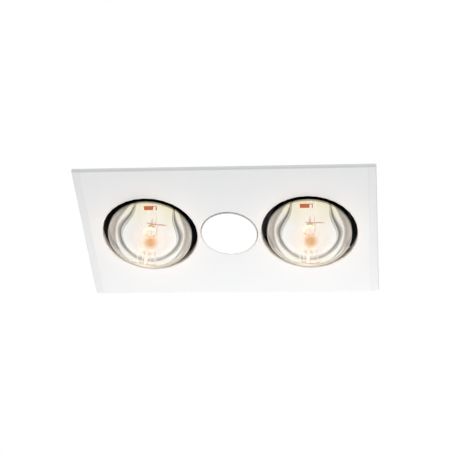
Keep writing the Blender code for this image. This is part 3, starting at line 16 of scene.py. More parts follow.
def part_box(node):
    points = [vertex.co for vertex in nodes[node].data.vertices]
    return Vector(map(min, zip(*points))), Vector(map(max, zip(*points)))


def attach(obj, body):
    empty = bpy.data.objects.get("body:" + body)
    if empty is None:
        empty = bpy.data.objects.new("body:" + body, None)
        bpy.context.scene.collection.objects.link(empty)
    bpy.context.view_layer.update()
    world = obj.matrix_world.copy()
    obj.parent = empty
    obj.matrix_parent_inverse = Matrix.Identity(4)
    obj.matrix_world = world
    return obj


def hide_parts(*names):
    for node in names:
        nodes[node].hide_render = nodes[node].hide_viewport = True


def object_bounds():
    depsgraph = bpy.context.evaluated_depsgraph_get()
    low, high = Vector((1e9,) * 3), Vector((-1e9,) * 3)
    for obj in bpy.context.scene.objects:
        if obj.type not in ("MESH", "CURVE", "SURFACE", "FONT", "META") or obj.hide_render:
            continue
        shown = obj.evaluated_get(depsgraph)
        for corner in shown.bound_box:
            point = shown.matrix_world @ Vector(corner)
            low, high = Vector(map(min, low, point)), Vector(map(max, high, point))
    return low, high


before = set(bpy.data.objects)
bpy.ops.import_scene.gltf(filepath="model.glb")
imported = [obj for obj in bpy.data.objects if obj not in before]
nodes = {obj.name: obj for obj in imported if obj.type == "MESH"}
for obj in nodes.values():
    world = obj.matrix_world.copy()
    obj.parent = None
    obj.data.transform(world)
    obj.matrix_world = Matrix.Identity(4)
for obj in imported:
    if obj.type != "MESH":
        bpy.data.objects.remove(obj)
cad_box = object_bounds()
TURN = 2 * math.pi
UP = (0, 0, 1)
SIDES = {"left": -1, "right": 1}
LAMP_X = 0.118
WALL_Y = 0.101
print(f"{len(nodes)} solids, box {[round((b - a) * 1000, 1) for a, b in zip(*cad_box)]} mm")

# %% [markdown]
# ## The camera
# The photograph looks up at the ceiling from in front and a little to the right, through a long lens. Place
# and lens come from matching the corners of the fascia and the rims of its openings. A camera could be aimed
# by eye with a constraint. Plain numbers are chosen because they give the same view each time.

# %% Camera
EYE = Vector((0.2345, -1.4243, -1.5282))
AIM = Vector((-0.0015, -0.0123, -0.0060))
ROLL = math.radians(6.206)


def put_in(name, data):
    thing = bpy.data.objects.new(name, data)
    bpy.context.scene.collection.objects.link(thing)
    return thing


def aimed(thing, place, target, roll=0.0):
    thing.location = place
    thing.rotation_mode = "QUATERNION"
    look = (Vector(target) - Vector(place)).to_track_quat("-Z", "Y")
    thing.rotation_quaternion = look @ Quaternion(UP, roll)
    return thing


camera_data = bpy.data.cameras.new("camera")
camera_data.lens = 112.79
camera_data.sensor_width = 36.0
bpy.context.scene.camera = aimed(put_in("camera", camera_data), EYE, AIM, ROLL)
bpy.context.scene.view_settings.view_transform = "Standard"
print(f"camera {(AIM - EYE).length:.2f} m from the heater")

# %% [markdown]
# ## Writing a finish as sums
# A finish is a net of small nodes, and wired by hand it soon hides what it does. Here a wrapped socket takes
# part in plain Python sums, so that `0.3 + 0.1 * grain` adds the Math nodes that say the same. Everything
# that isn't a sum comes from one method, `add`, and the other methods are short recipes that use it.

# %% Values and finishes
finishes = {}


class Value:
    """A socket that carries a number over the surface. Sums with it add Math nodes."""

    def __init__(self, finish, socket):
        self.finish = finish
        self.socket = socket

    def sum(self, operation, first, second):
        return self.finish.add("Math", {0: first, 1: second}, operation=operation)

    def __add__(self, other):
        return self.sum("ADD", self, other)

    def __radd__(self, other):
        return self.sum("ADD", other, self)

    def __sub__(self, other):
        return self.sum("SUBTRACT", self, other)

    def __rsub__(self, other):
        return self.sum("SUBTRACT", other, self)

    def __mul__(self, other):
        return self.sum("MULTIPLY", self, other)

    def __rmul__(self, other):
        return self.sum("MULTIPLY", other, self)

    def most(self, other):
        return self.sum("MAXIMUM", self, other)

    def least(self, other):
        return self.sum("MINIMUM", self, other)


class Finish:
    """A node tree being filled: one method adds any node, and the others are recipes that use it."""

    def __init__(self, name, tree=None):
        self.name = name
        if tree is None:
            self.material = bpy.data.materials.new(name)
            self.material.use_nodes = True
            tree = self.material.node_tree
        self.tree = tree
        self.tree.nodes.clear()

    def find(self, sockets, key):
        open_sockets = [s for s in sockets if s.enabled]
        return open_sockets[key] if isinstance(key, int) else next(s for s in open_sockets if s.name == key)

    def add(self, kind, sockets=None, out=0, **settings):
        """A node of a kind, set up first and then fed with values for its sockets."""
        node = self.tree.nodes.new("ShaderNode" + kind)
        for key, value in settings.items():
            setattr(node, key, value)
        for key, value in (sockets or {}).items():
            socket = self.find(node.inputs, key)
            if isinstance(value, Value):
                self.tree.links.new(value.socket, socket)
            elif socket.type == "RGBA":
                socket.default_value = (*value[:3], 1.0)
            else:
                socket.default_value = value
        return Value(self, self.find(node.outputs, out)) if node.outputs else None

    def ramp(self, value, *stops):
        """Levels that follow a value, each stop being a value and its level."""
        low, reach = stops[0][0], stops[-1][0] - stops[0][0]
        level = self.add("ValToRGB", {0: (value - low) * (1 / reach)})
        elements = level.socket.node.color_ramp.elements
        while len(elements) < len(stops):
            elements.new(0.5)
        for element, (place, grey) in zip(elements, stops):
            element.position = (place - low) / reach
            element.color = (grey, grey, grey, 1)
        return level

    def blend(self, mask, low, high):
        return self.add("Mix", {"Factor": mask, "A": low, "B": high}, data_type="RGBA")

    def layered(self, colour, *layers):
        """Lays tints over a colour, each one as far as its mask says."""
        for mask, tint in layers:
            colour = self.blend(mask, colour, tint)
        return colour

    def bumps(self, height, depth, strength):
        return self.add("Bump", {"Strength": strength, "Distance": depth, "Height": height})

    def see_through(self, colour):
        return self.add("BsdfTransparent", {"Color": colour})

    def glow(self, colour):
        return self.add("Emission", {"Color": colour, "Strength": 1.0})

    def mix(self, share, first, second):
        return self.add("MixShader", {0: share, 1: first, 2: second})

    def skin(self, colour, roughness, bump=None, others=None):
        """The shader of a solid. A bump is height, depth and strength, the others go by socket name."""
        sockets = {"Base Color": colour, "Roughness": roughness, **(others or {})}
        if bump:
            sockets["Normal"] = self.bumps(*bump)
        return self.add("BsdfPrincipled", sockets)

    def surface(self, shader):
        """Ends the finish and keeps it under its name."""
        self.add("OutputMaterial", {"Surface": shader})
        finishes[self.name] = self.material
        print(f"{self.name}: {len(self.tree.nodes)} nodes")
        return self.material


# %% [markdown]
# ## Patterns that several finishes share
# Metal, enamel and plastic all vary over a few millimetres. The patterns below are measured in metres on the
# object itself, so a grain has the same size on a screw and on the box. `edges` compares the surface with a
# rounded copy of itself: the two differ only along edges, where handling wears a finish thin.

# %% Patterns
WEAR = ((0.02, 0.0), (0.20, 1.0))


def places(finish):
    return finish.add("TexCoord", None, "Object")


def along(finish, axis, where=None):
    return finish.add("SeparateXYZ", {0: where or places(finish)}, axis)


def backs(finish):
    """One on the back of a face, nothing on its front."""
    return finish.add("NewGeometry", None, "Backfacing")


def stretched(finish, scale):
    return finish.add("VectorMath", {0: places(finish), 1: scale}, operation="MULTIPLY")


def cloud(finish, size, detail=3.0, where=None, roughness=0.5):
    sockets = {"Vector": where or places(finish), "Scale": 1 / size, "Detail": detail, "Roughness": roughness}
    return finish.add("TexNoise", sockets)


def edges(finish, radius):
    rounded = finish.add("Bevel", {"Radius": radius}, samples=4)
    true = finish.add("NewGeometry", None, "Normal")
    alike = finish.add("VectorMath", {0: rounded, 1: true}, "Value", operation="DOT_PRODUCT")
    return finish.ramp(1.0 - alike, *WEAR)


print(f"wear starts where an edge bends the light by {WEAR[0][0]:.0%}")

# %% [markdown]
# ## A white room
# The photograph has a white background and almost no shadow: light comes from everywhere. The room is a world
# that is white for the camera, for mirrors and through glass, and dimmer where it only lights. A picture of a
# real room could light it too, but plain white keeps the enamel as even as it is in the photograph.

# %% World
ROOM_LIGHT = 0.62
ROOM_WHITE = (1, 1, 1)


def seen_white(finish):
    """One where a surface is seen directly, in a mirror or through glass, nothing where it only lights."""
    seen = [finish.add("LightPath", None, f"Is {kind} Ray") for kind in ("Camera", "Glossy", "Transmission")]
    return seen[0].most(seen[1]).most(seen[2])


world = bpy.data.worlds.new("white_room")
world.use_nodes = True
bpy.context.scene.world = world
sky = Finish("white_room", world.node_tree)
dim = sky.add("Background", {"Color": (0.97, 0.98, 1.0), "Strength": ROOM_LIGHT})
white = sky.add("Background", {"Color": ROOM_WHITE, "Strength": 1.0})
sky.add("OutputWorld", {"Surface": sky.mix(seen_white(sky), dim, white)})
print(f"the room lights with {ROOM_LIGHT} and is seen as 1.0")

# %% [markdown]
# ## Soft boxes
# The fascia grows lighter towards its far edge, so a wide soft box hangs beyond that edge. Two more stand
# above the ceiling for views from there. Small lamps would be quicker to set, but they leave hard shadows.
# Neither the camera nor a mirror sees the boxes themselves.

# %% Lights
SOFT_BOXES = {
    "far_light": ((0.06, 0.95, -0.65), (0, 0.05, 0), (1.0, 0.6), 9.5),
    "upper_light": ((-0.8, 0.9, 1.6), (0, 0, 0.1), (1.2, 1.2), 14.0),
    "upper_fill": ((1.2, -1.0, 1.2), (0, 0, 0.1), (1.0, 1.0), 8.0),
}


def area_light(name, shape, size, power):
    data = bpy.data.lights.new(name, "AREA")
    data.shape = shape
    data.size, data.size_y = size
    data.energy = power
    light = put_in(name, data)
    light.visible_camera = light.visible_glossy = False
    return light


for name, (place, target, size, power) in SOFT_BOXES.items():
    aimed(area_light(name, "RECTANGLE", size, power), place, target)
print(f"{len(SOFT_BOXES)} soft boxes")

# %% [markdown]
# ## Floor
# The floor lies a room's height below. The camera never sees it, but the mirror in each lamp shows it as the
# bright ground of the bowl. A floor that is only lit comes out grey there, so it also glows wherever it is
# seen.

# %% Floor
FLOOR_LEVEL = -2.4
BACKDROP_REACH = 4.0


def rectangle(reach_x, reach_y, level):
    return [(x * reach_x, y * reach_y, level) for x, y in ((-1, -1), (1, -1), (1, 1), (-1, 1))]


def backdrop(name, corners, faces, material):
    mesh = bpy.data.meshes.new(name)
    mesh.from_pydata(corners, [], faces)
    mesh.materials.append(material)
    put_in(name, mesh)
    return mesh


def pale_floor():
    f = Finish("pale_floor")
    matt = f.skin(f.blend(cloud(f, 0.4), (0.84, 0.84, 0.84), (0.88, 0.88, 0.88)), 0.8)
    return f.surface(f.mix(0.9 * seen_white(f), matt, f.glow(ROOM_WHITE)))


backdrop("floor", rectangle(BACKDROP_REACH, BACKDROP_REACH, FLOOR_LEVEL), [(0, 1, 2, 3)], pale_floor())
print(f"floor {-FLOOR_LEVEL} m down, {2 * BACKDROP_REACH} m wide")

# %% [markdown]
# ## Ceiling
# The ceiling hides the box that stands above the fascia. It is a white sheet with a hole for the box, and it
# has one side only: from above it isn't there, so that the whole heater can be looked at from there too. A
# thick board would be truer, but it would hide the lower half.

# %% Ceiling
HOLE_SPACE = 0.0015
CEILING_LEVEL = 0.0002
hole_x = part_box("end_bracket_right")[1].x + HOLE_SPACE
hole_y = WALL_Y + HOLE_SPACE


def white_ceiling():
    f = Finish("white_ceiling")
    return f.surface(f.mix(seen_white(f) * (1.0 - backs(f)), f.see_through(ROOM_WHITE), f.glow(ROOM_WHITE)))


corners = rectangle(BACKDROP_REACH, BACKDROP_REACH, CEILING_LEVEL) + rectangle(hole_x, hole_y, CEILING_LEVEL)
faces = [(i, i + 4, (i + 1) % 4 + 4, (i + 1) % 4) for i in range(4)]
ceiling = backdrop("ceiling", corners, faces, white_ceiling())
facing = "down" if ceiling.polygons[0].normal.z < 0 else "up"
print(f"ceiling faces {facing}, hole {2 * hole_x:.3f} by {2 * hole_y:.3f} m")

# %% [markdown]
# ## White enamel
# The fascia is pressed sheet steel under a baked powder coat, smooth but not flat: its orange peel has
# ripples two millimetres long and a hundredth of a millimetre deep. They could be modelled, but at this size
# a bump node bends the light as well and costs nothing. A thin grey line of painted shade runs along the
# crease near each end and along the rim.

# %% White enamel
CREASE_X = 0.206
RIM_X = cad_box[1][0]

f = Finish("white_enamel")
worn = edges(f, 0.0006)
out = f.add("VectorMath", {0: places(f)}, operation="ABSOLUTE")
crease = ((CREASE_X - 0.0012, 0.0), (CREASE_X, 1.0), (CREASE_X + 0.0014, 0.25))
rim = ((RIM_X - 0.0018, 0.25), (RIM_X - 0.0004, 1.0))
# painted shade: a thin grey line along the crease near each end and along the rim
crease_and_rim_shade = f.ramp(along(f, "X", out), *crease, *rim)
paint = f.blend(cloud(f, 0.09, 2.0), (0.865, 0.868, 0.866), (0.895, 0.896, 0.892))
tint = f.layered(paint, (worn * 0.35, (0.80, 0.80, 0.79)), (crease_and_rim_shade * 0.6, (0.80, 0.80, 0.80)))
peel = (cloud(f, 0.0021, 2.0), 0.00002, 0.6)
clear = {"Coat Weight": 0.25 - 0.15 * worn, "Coat Roughness": 0.12}
f.surface(f.skin(tint, 0.30 + 0.10 * cloud(f, 0.03), peel, clear))

# %% [markdown]
# ## Galvanised sheet
# The box is galvanised: zinc that froze into flat crystals about a centimetre wide, each shining in its own
# direction. A photograph of such sheet could be laid over it, but it would repeat. A Voronoi pattern gives
# every crystal its own grey and tilt, and a little noise bends the borders between them.

# %% Galvanised sheet
f = Finish("galvanised_steel")
drift = f.add("TexNoise", {"Vector": places(f), "Scale": 60.0}, "Color")
warp = f.add("VectorMath", {0: drift, "Scale": 0.006}, operation="SCALE")
where = f.add("VectorMath", {0: places(f), 1: warp}, operation="ADD")
flake = f.add("TexVoronoi", {"Vector": where, "Scale": 150.0}, "Color")
shade = f.add("SeparateColor", {0: flake})
frost = cloud(f, 0.0016, 4.0)
scuff = f.ramp(cloud(f, 0.05, 4.0, stretched(f, (1.0, 6.0, 1.0))), (0.55, 0.0), (0.75, 1.0))
zinc = f.blend(shade, (0.40, 0.42, 0.44), (0.54, 0.56, 0.575))
worn = (edges(f, 0.0008) * 0.5, (0.68, 0.69, 0.70))
tint = f.layered(zinc, (scuff * 0.35, (0.32, 0.33, 0.34)), worn)
tilt = (shade + 0.3 * frost, 0.00008, 0.5)
metal = {"Metallic": 0.92 - 0.15 * scuff}
f.surface(f.skin(tint, 0.30 + 0.16 * shade + 0.10 * frost, tilt, metal))

# %% [markdown]
# ## Rolled and drawn metals
# Clips are rolled, screws and caps are drawn or turned, and each of these leaves a grain that runs one way. A
# recipe for each could be written, but one makes all three: a noise pulled long in the direction of the work,
# with its own pair of greys or yellows.

# %% Rolled metals
ROLLED_METALS = {
    "spring_steel": ((0.34, 0.36, 0.40), (0.46, 0.47, 0.49), (1.0, 1.0, 0.15), 0.32, (0.62, 0.62, 0.63)),
    "zinc_plate": ((0.62, 0.64, 0.66), (0.72, 0.71, 0.62), (1.0, 1.0, 3.0), 0.30, (0.82, 0.82, 0.82)),
    "lamp_brass": ((0.60, 0.44, 0.20), (0.78, 0.62, 0.33), (0.3, 0.3, 3.0), 0.30, (0.86, 0.74, 0.48)),
}


def rolled_metal(name, dark, light, grain, roughness, worn):
    f = Finish(name)
    lines = cloud(f, 0.002, 3.0, stretched(f, grain))
    stain = cloud(f, 0.012, 3.0)
    tint = f.blend(f.ramp(stain, (0.35, 0.0), (0.65, 1.0)), dark, light)
    tint = f.blend(edges(f, 0.0003) * 0.6, tint, worn)
    metal = {"Metallic": 0.97 - 0.1 * stain}
    return f.surface(f.skin(tint, roughness - 0.06 + 0.12 * lines, (lines, 0.00003, 0.4), metal))


for name, values in ROLLED_METALS.items():
    rolled_metal(name, *values)

# %% [markdown]
# ## Cast aluminium
# The light's heat sink is die cast, which leaves a fine pitted skin with no direction. Pits could be a
# pattern of their own. Here the noise that shades the metal also roughens and dents it, so a dark pit is deep
# and dull too.

# %% Cast aluminium
f = Finish("cast_aluminium")
grain = cloud(f, 0.0011, 5.0, roughness=0.65)
tint = f.blend(grain, (0.56, 0.57, 0.58), (0.74, 0.75, 0.76))
tint = f.blend(edges(f, 0.0004) * 0.5, tint, (0.84, 0.85, 0.86))
metal = {"Metallic": 0.9 - 0.1 * cloud(f, 0.02, 2.0)}
f.surface(f.skin(tint, 0.38 + 0.15 * grain, (grain, 0.00008, 0.5), metal))

# %% [markdown]
# ## Ceramic
# The lamp holders are glazed steatite, since plastic would char beside such a lamp. The glaze has soft waves
# and a few dark specks from the clay. It could be a second skin over the body, but a coat on the same shader
# gives its double shine more simply.

# %% Ceramic
f = Finish("ceramic")
drift = cloud(f, 0.01, 3.0)
specks = f.ramp(cloud(f, 0.0012, 2.0), (0.70, 0.0), (0.78, 1.0))
worn = edges(f, 0.0006)
clay = f.blend(drift, (0.84, 0.81, 0.74), (0.91, 0.89, 0.84))
tint = f.layered(clay, (specks * 0.5, (0.42, 0.36, 0.30)), (worn * 0.4, (0.93, 0.92, 0.89)))
glaze = {"Coat Weight": 0.5 - 0.3 * worn, "Coat Roughness": 0.15}
f.surface(f.skin(tint, 0.28 + 0.18 * drift, (drift, 0.00015, 0.4), glaze))

# %% [markdown]
# ## Plastics and rubber
# Fan, terminal block and driver are moulded, with the fine spark-eroded texture of a moulding tool. Rubber
# could be a finish apart, but it is the same recipe, only duller and finer. Where parts are handled, the
# edges turn lighter.

# %% Plastics and rubber
MOULDED = {
    "pale_plastic": ((0.74, 0.75, 0.74), (0.80, 0.81, 0.79), 0.46),
    "grey_plastic": ((0.31, 0.32, 0.33), (0.38, 0.39, 0.40), 0.50),
    "dark_plastic": ((0.045, 0.046, 0.048), (0.075, 0.075, 0.078), 0.42),
    "rubber": ((0.022, 0.022, 0.023), (0.045, 0.044, 0.043), 0.74, 0.0004),
}


def moulded(name, dark, light, roughness, texture=0.0007):
    f = Finish(name)
    spark = cloud(f, texture, 3.0, roughness=0.7)
    flow = cloud(f, 0.03, 2.0, stretched(f, (1.0, 1.0, 0.4)))
    pale = tuple(min(1.0, c * 1.15 + 0.03) for c in light)
    tint = f.layered(dark, (flow, light), (edges(f, 0.0005) * 0.4, pale))
    return f.surface(f.skin(tint, roughness - 0.05 + 0.14 * spark, (spark, 0.00004, 0.5)))


for name, values in MOULDED.items():
    moulded(name, *values)

# %% [markdown]
# ## Light board
# The board is white solder mask over copper, and the tracks show through as raised lines. They could be drawn
# one by one, but the board hides behind the opal cover, so the borders of a Voronoi pattern stand for them.

# %% Light board
f = Finish("board_white")
mask = cloud(f, 0.0006, 3.0)
sockets = {"Vector": places(f), "Scale": 190.0}
border = f.add("TexVoronoi", sockets, "Distance", feature="DISTANCE_TO_EDGE")
tracks = f.ramp(border, (0.03, 1.0), (0.06, 0.0))
tint = f.layered((0.82, 0.84, 0.82), (mask, (0.88, 0.89, 0.87)), (tracks * 0.5, (0.70, 0.74, 0.71)))
f.surface(f.skin(tint, 0.42 + 0.1 * mask, (tracks, 0.00004, 0.6)))

# %% [markdown]
# ## Flexes
# The flexes run near hot lamps and wear a woven glass sleeve. A weave could be modelled thread by thread,
# which no view would ever show. Two waves that cross are enough: where both are high a thread lies on top.

# %% Flexes
SLEEVES = {
    "lead_brown": ((0.22, 0.12, 0.06), (0.38, 0.23, 0.13)),
    "lead_white": ((0.68, 0.68, 0.66), (0.84, 0.84, 0.82)),
}


def thread_wave(finish, lean):
    sockets = {"Vector": stretched(finish, lean), "Scale": 260.0, "Distortion": 1.0, "Detail": 1.0}
    return finish.add("TexWave", sockets, "Fac", bands_direction="DIAGONAL")


def sleeved_flex(name, dark, light):
    f = Finish(name)
    weave = thread_wave(f, (1.0, 1.0, 1.0)) * thread_wave(f, (1.0, -1.0, 1.0))
    soiled = tuple(c * 0.6 for c in dark)
    tint = f.layered(dark, (weave, light), (cloud(f, 0.01, 3.0) * 0.25, soiled))
    return f.surface(f.skin(tint, 0.55 + 0.2 * weave, (weave, 0.00012, 0.7)))


for name, tints in SLEEVES.items():
    sleeved_flex(name, *tints)

# %% [markdown]
# ## Clear glass
# Light passes a thin glass wall almost unbent, so the clear front is a see-through shader mixed with a mirror
# that grows towards the edge of the curve. Real refraction could be traced, but it leaves grain. Seen edge-on
# the glass is darker, because the way through it is longer. On the far side that edge is painted warm and
# light instead, a painted glow that stands for the lit fascia shining into it.

# %% Clear glass
f = Finish("lamp_glass")
facing = f.add("LayerWeight", {"Blend": 0.5}, "Facing")
ripple = f.bumps(cloud(f, 0.012, 2.0), 0.0002, 0.5)
# painted light: the far side of the edge is warm and light, standing for the lit fascia
painted_far_light = f.ramp(along(f, "Y"), (0.0025, 0.0), (0.0275, 1.0))
edge = f.mix(painted_far_light, f.see_through((0.10, 0.10, 0.11)), f.see_through((0.86, 0.82, 0.70)))
wall = f.mix(f.ramp(facing, (0.70, 0.0), (0.94, 0.95)), f.see_through((0.985, 0.988, 0.985)), edge)
mirror = f.add("BsdfGlossy", {"Color": (1, 1, 1), "Roughness": 0.03, "Normal": ripple})
f.surface(f.mix(f.add("Fresnel", {"IOR": 1.5, "Normal": ripple}) * 1.4, wall, mirror))

# %% [markdown]
# ## Mirror coat
# Behind its shoulder each bulb is coated inside with aluminium vapour. Its outside is painted near black and
# covered a little lower down, a painted shade that keeps the gap round the bulb dark. The coat thins out over
# its last millimetres and ends half clear. A dark band painted near the shoulder, a painted shade, shows in
# the opposite side of the bowl as two grey arcs. Above the coil a brown patch is painted where the coil's
# reflection falls and made to glow, and the whole inside glows faintly, warmer near the neck and on the far
# side: painted light. A plain mirror would be simpler, but this is the most looked-at surface of the heater.

# %% Mirror coat
COIL_GLOW_SPOTS = ((-0.128, 0.051, 0.031), (0.1165, 0.052, 0.031))


def painted_coil_glow(finish, haze):
    """One where the coil's glow is painted on the coat, fading over four centimetres."""
    where = places(finish)
    measure = {"operation": "DISTANCE"}
    away = [finish.add("VectorMath", {0: where, 1: spot}, "Value", **measure) for spot in COIL_GLOW_SPOTS]
    ragged = away[0].least(away[1]) + 0.005 * (haze - 0.5)
    return finish.ramp(ragged, (0.0045, 1.0), (0.0125, 0.28), (0.0425, 0.0))


def coat_share(finish, height, depth, dark_outside):
    """How much of the glass is covered: half of it at the shoulder, all of it a few millimetres above."""
    fading = ((-0.0066, 0.50), (-0.0012, 0.62), (0.0, 0.40), (0.0012, 0.40), (0.0032, 1.0))
    share = finish.ramp(height, *fading).most(finish.ramp(depth, (0.02, 0.0), (0.0375, 0.95)))
    # the dark outside is covered a little lower down: painted shade in the gap round the bulb
    return share.most(finish.ramp(height, (-0.0052, 0.0), (-0.0016, 1.0)) * dark_outside)


f = Finish("mirror_coat")
height, depth = along(f, "Z"), along(f, "Y")
haze = cloud(f, 0.014, 3.0)
streak = cloud(f, 0.004, 3.0, stretched(f, (1.0, 1.0, 0.2)))
inside = backs(f)
# painted shade: the outside of the coat is near black, so the gap round the bulb stays dark
dark_outside = 1.0 - inside
# painted warm light near the neck, in the coat's colour and its glow
neck = f.ramp(height, (0.045, 0.0), (0.078, 1.0))
# painted reflection: the coil's glow, brown and glowing where its reflection falls
coil_glow_patch = painted_coil_glow(f, haze)
# painted shade: a dark band near the shoulder that shows as grey arcs in the opposite side of the bowl
painted_dark_band = f.ramp(height, (0.0012, 0.0), (0.0028, 1.0), (0.0144, 1.0), (0.0164, 0.0))
painted_dark_band = painted_dark_band * f.ramp(depth, (-0.035, 1.0), (-0.0175, 0.0)) * inside
silver = f.blend(haze, (0.90, 0.895, 0.89), (0.93, 0.925, 0.92))
# painted marks: the coil's painted glow, the painted dark band and the painted near-black outside
painted_marks = (coil_glow_patch, (0.66, 0.38, 0.18)), (painted_dark_band, (0.05, 0.045, 0.045)), (dark_outside, (0.06, 0.06, 0.06))
silver = f.layered(silver, *painted_marks, (neck, (0.87, 0.83, 0.70)))
# painted glow: warmer on the far side and near the neck
sides = (f.ramp(depth, (0.0275, 0.0), (0.05375, 1.0)), (1.0, 0.97, 0.88)), (neck, (0.45, 0.40, 0.27))
painted_glow_colour = f.layered((0.30, 0.29, 0.28), *sides, (coil_glow_patch, (0.8, 0.42, 0.16)), (painted_dark_band, (0, 0, 0)))
glow = f.blend(inside, (0, 0, 0), painted_glow_colour)
# the inside of the coat glows faintly: painted light
metal = {"Metallic": 1.0 - 0.02 * streak, "Emission Color": glow, "Emission Strength": 0.24}
shader = f.skin(silver, 0.03 + 0.04 * haze, (streak, 0.00002, 0.3), metal)
f.surface(f.mix(coat_share(f, height, depth, dark_outside), f.see_through((0.97, 0.97, 0.97)), shader))

# %% [markdown]
# ## Glowing wire
# The heater is on, and the coil glows yellow-white, with the far part of its ring a dull orange. A lamp
# inside the coil could light it, but the wire has to be bright itself to be seen so, and an emission does
# just that.

# %% Glowing wire
f = Finish("tungsten")
grain = cloud(f, 0.0008, 2.0)
cooler = f.ramp(along(f, "Y") + 0.00375 * grain, (0.00125, 0.0), (0.0055, 1.0))
hot = f.layered((1.0, 0.62, 0.22), (grain, (1.0, 0.80, 0.38)), (cooler, (0.30, 0.095, 0.02)))
tint = f.blend(grain, (0.26, 0.24, 0.22), (0.34, 0.32, 0.30))
f.surface(f.skin(tint, 0.5 + 0.1 * grain, None, {"Emission Color": hot, "Emission Strength": 1.7}))

# %% [markdown]
# ## What the coil lights up
# Glass rod, wires and mica plate stand so near the coil that they seem to glow themselves. Their light could
# be traced from the coil, but so thin a wire catches too few rays. Each gets a faint emission instead, one
# colour down at the ring and another above it.

# %% Lit mount
WARM_GREY = (0.30, 0.29, 0.28)
SOOT = (0.04, 0.015, 0.005)


def lit_mount(name, low, high, strength, roughness, base=WARM_GREY, gloss=0.5):
    f = Finish(name)
    haze = cloud(f, 0.006, 3.0)
    lit = f.blend(f.ramp(along(f, "Z"), (0.013, 0.0), (0.030, 1.0)), low, high)
    tint = f.blend(haze, base, tuple(1.15 * c for c in base))
    glow = {"Specular IOR Level": gloss, "Emission Color": lit, "Emission Strength": strength}
    return f.surface(f.skin(tint, roughness + 0.10 * haze, (haze, 0.0001, 0.3), glow))


lit_mount("mount_glass", (0.50, 0.26, 0.17), (1.0, 0.95, 0.86), 0.70, 0.15)
lit_mount("mica", (0.50, 0.10, 0.01), (0.50, 0.085, 0.0), 0.92, 0.40, SOOT, 0.1)
lit_mount("hot_wire", (0.46, 0.20, 0.08), (1.0, 0.95, 0.88), 0.75, 0.35)

# %% [markdown]
# ## Opal cover
# The middle light is on as well, behind an opal cover that spreads its light. The sources under it could
# shine through a real scattering body, which is slow and ends in the same even white. The cover glows itself.

# %% Opal cover
f = Finish("opal")
cloudy = cloud(f, 0.012, 3.0)
tint = f.blend(cloudy, (0.93, 0.93, 0.92), (0.96, 0.96, 0.95))
lit = f.blend(cloudy, (1.0, 0.985, 0.96), (1.0, 1.0, 0.985))
glow = {"Emission Color": lit, "Emission Strength": 0.7}
f.surface(f.skin(tint, 0.28 + 0.06 * cloudy, (cloudy, 0.0001, 0.3), glow))

# %% [markdown]
# ## Finishes onto the solids
# Each solid came with a named finish of its own. They could be picked one by one in the editor, but looking
# each name up is all it takes. The solids aren't moved and their meshes aren't touched.

# %% Dress the solids
for node in nodes.values():
    for place in node.material_slots:
        place.material = finishes[place.material.name.split(".")[0]]
print(f"{len(nodes)} solids dressed")

# %% [markdown]
# ## Smooth profiles
# Blown glass has no corners, so its outline is a curve through a few points. Blender's curve objects could
# carry it, but their points have to be read back before they can be turned. The formula below passes exactly
# through every point and needs nothing but its four neighbours.

# %% Smooth lines
def between(a, b, c, d, t):
    """The smooth course from b to c at the share t of the way, with a before and d after them."""
    return 0.5 * (2 * b + (c - a) * t + (2 * a - 5 * b + 4 * c - d) * t**2 + (3 * b - a - 3 * c + d) * t**3)


def smooth_line(points, steps):
    around = [points[0], *points, points[-1]]
    line = [
        tuple(between(*values, step / steps) for values in zip(*around[i : i + 4]))
        for i in range(len(points) - 1)
        for step in range(steps)
    ]
    return [*line, points[-1]]


print(f"a line of 3 points in 5 steps has {len(smooth_line([(0, 0), (1, 1), (2, 0)], 5))} points")

# %% [markdown]
# ## Turning a profile
# Bulbs, caps, screws and rivets are round, so most new pieces are a profile turned about an upright axis.
# Blender has a Spin tool and a Screw modifier for this. A short loop is used because it closes exactly and
# lets each corner of a ring have its own radius, which the threads below need.

# %% Turned pieces
SHARP_FROM = 35


def mesh_piece(name, bm, sharp_from=SHARP_FROM):
    mesh = bpy.data.meshes.new(name)
    bm.to_mesh(mesh)
    bm.free()
    mesh.shade_smooth()
    mesh.set_sharp_from_angle(angle=math.radians(sharp_from))
    return put_in(name, mesh)


def ring(bm, radii, height):
    """One corner for each radius, evenly round the axis. Radii of nothing share one corner."""
    sides = len(radii)
    if max(radii) < 1e-6:
        return [bm.verts.new((0, 0, height))] * sides
    turns = [TURN * i / sides for i in range(sides)]
    return [bm.verts.new((r * math.cos(turn), r * math.sin(turn), height)) for r, turn in zip(radii, turns)]


def skinned(name, bm, rings, place):
    """Closes neighbouring rings with faces and sets the piece at its place."""
    for low, high in zip(rings, rings[1:]):
        for i in range(len(low)):
            j = (i + 1) % len(low)
            face = list(dict.fromkeys((low[i], low[j], high[j], high[i])))
            if len(face) > 2:
                bm.faces.new(face)
    bmesh.ops.recalc_face_normals(bm, faces=bm.faces)
    bmesh.ops.transform(bm, matrix=Matrix.Translation(place), verts=bm.verts)
    return mesh_piece(name, bm)


def turned(name, profile, sides, place=(0, 0, 0)):
    bm = bmesh.new()
    return skinned(name, bm, [ring(bm, [radius] * sides, height) for radius, height in profile], place)


print(f"edges stay sharp from {SHARP_FROM} degrees")

# %% [markdown]
# ## Blocks, wires and joined pieces
# What isn't round is a block with rounded edges or a wire along a few points. A wire could be turned into a
# mesh with modifiers. Here it starts as a curve with a thickness, since that keeps its section square to
# every bend.

# %% Blocks and wires
BEVEL_STEPS = 2


def block(name, low, high, bevel):
    """A box between two corners with its edges rounded off."""
    bm = bmesh.new()
    middle, size = (Vector(low) + Vector(high)) / 2, Vector(high) - Vector(low)
    bmesh.ops.create_cube(bm, size=1.0, matrix=Matrix.Translation(middle) @ Matrix.Diagonal((*size, 1)))
    bmesh.ops.bevel(bm, geom=bm.edges[:], offset=bevel, segments=BEVEL_STEPS, profile=0.5, affect="EDGES")
    return mesh_piece(name, bm, 50)


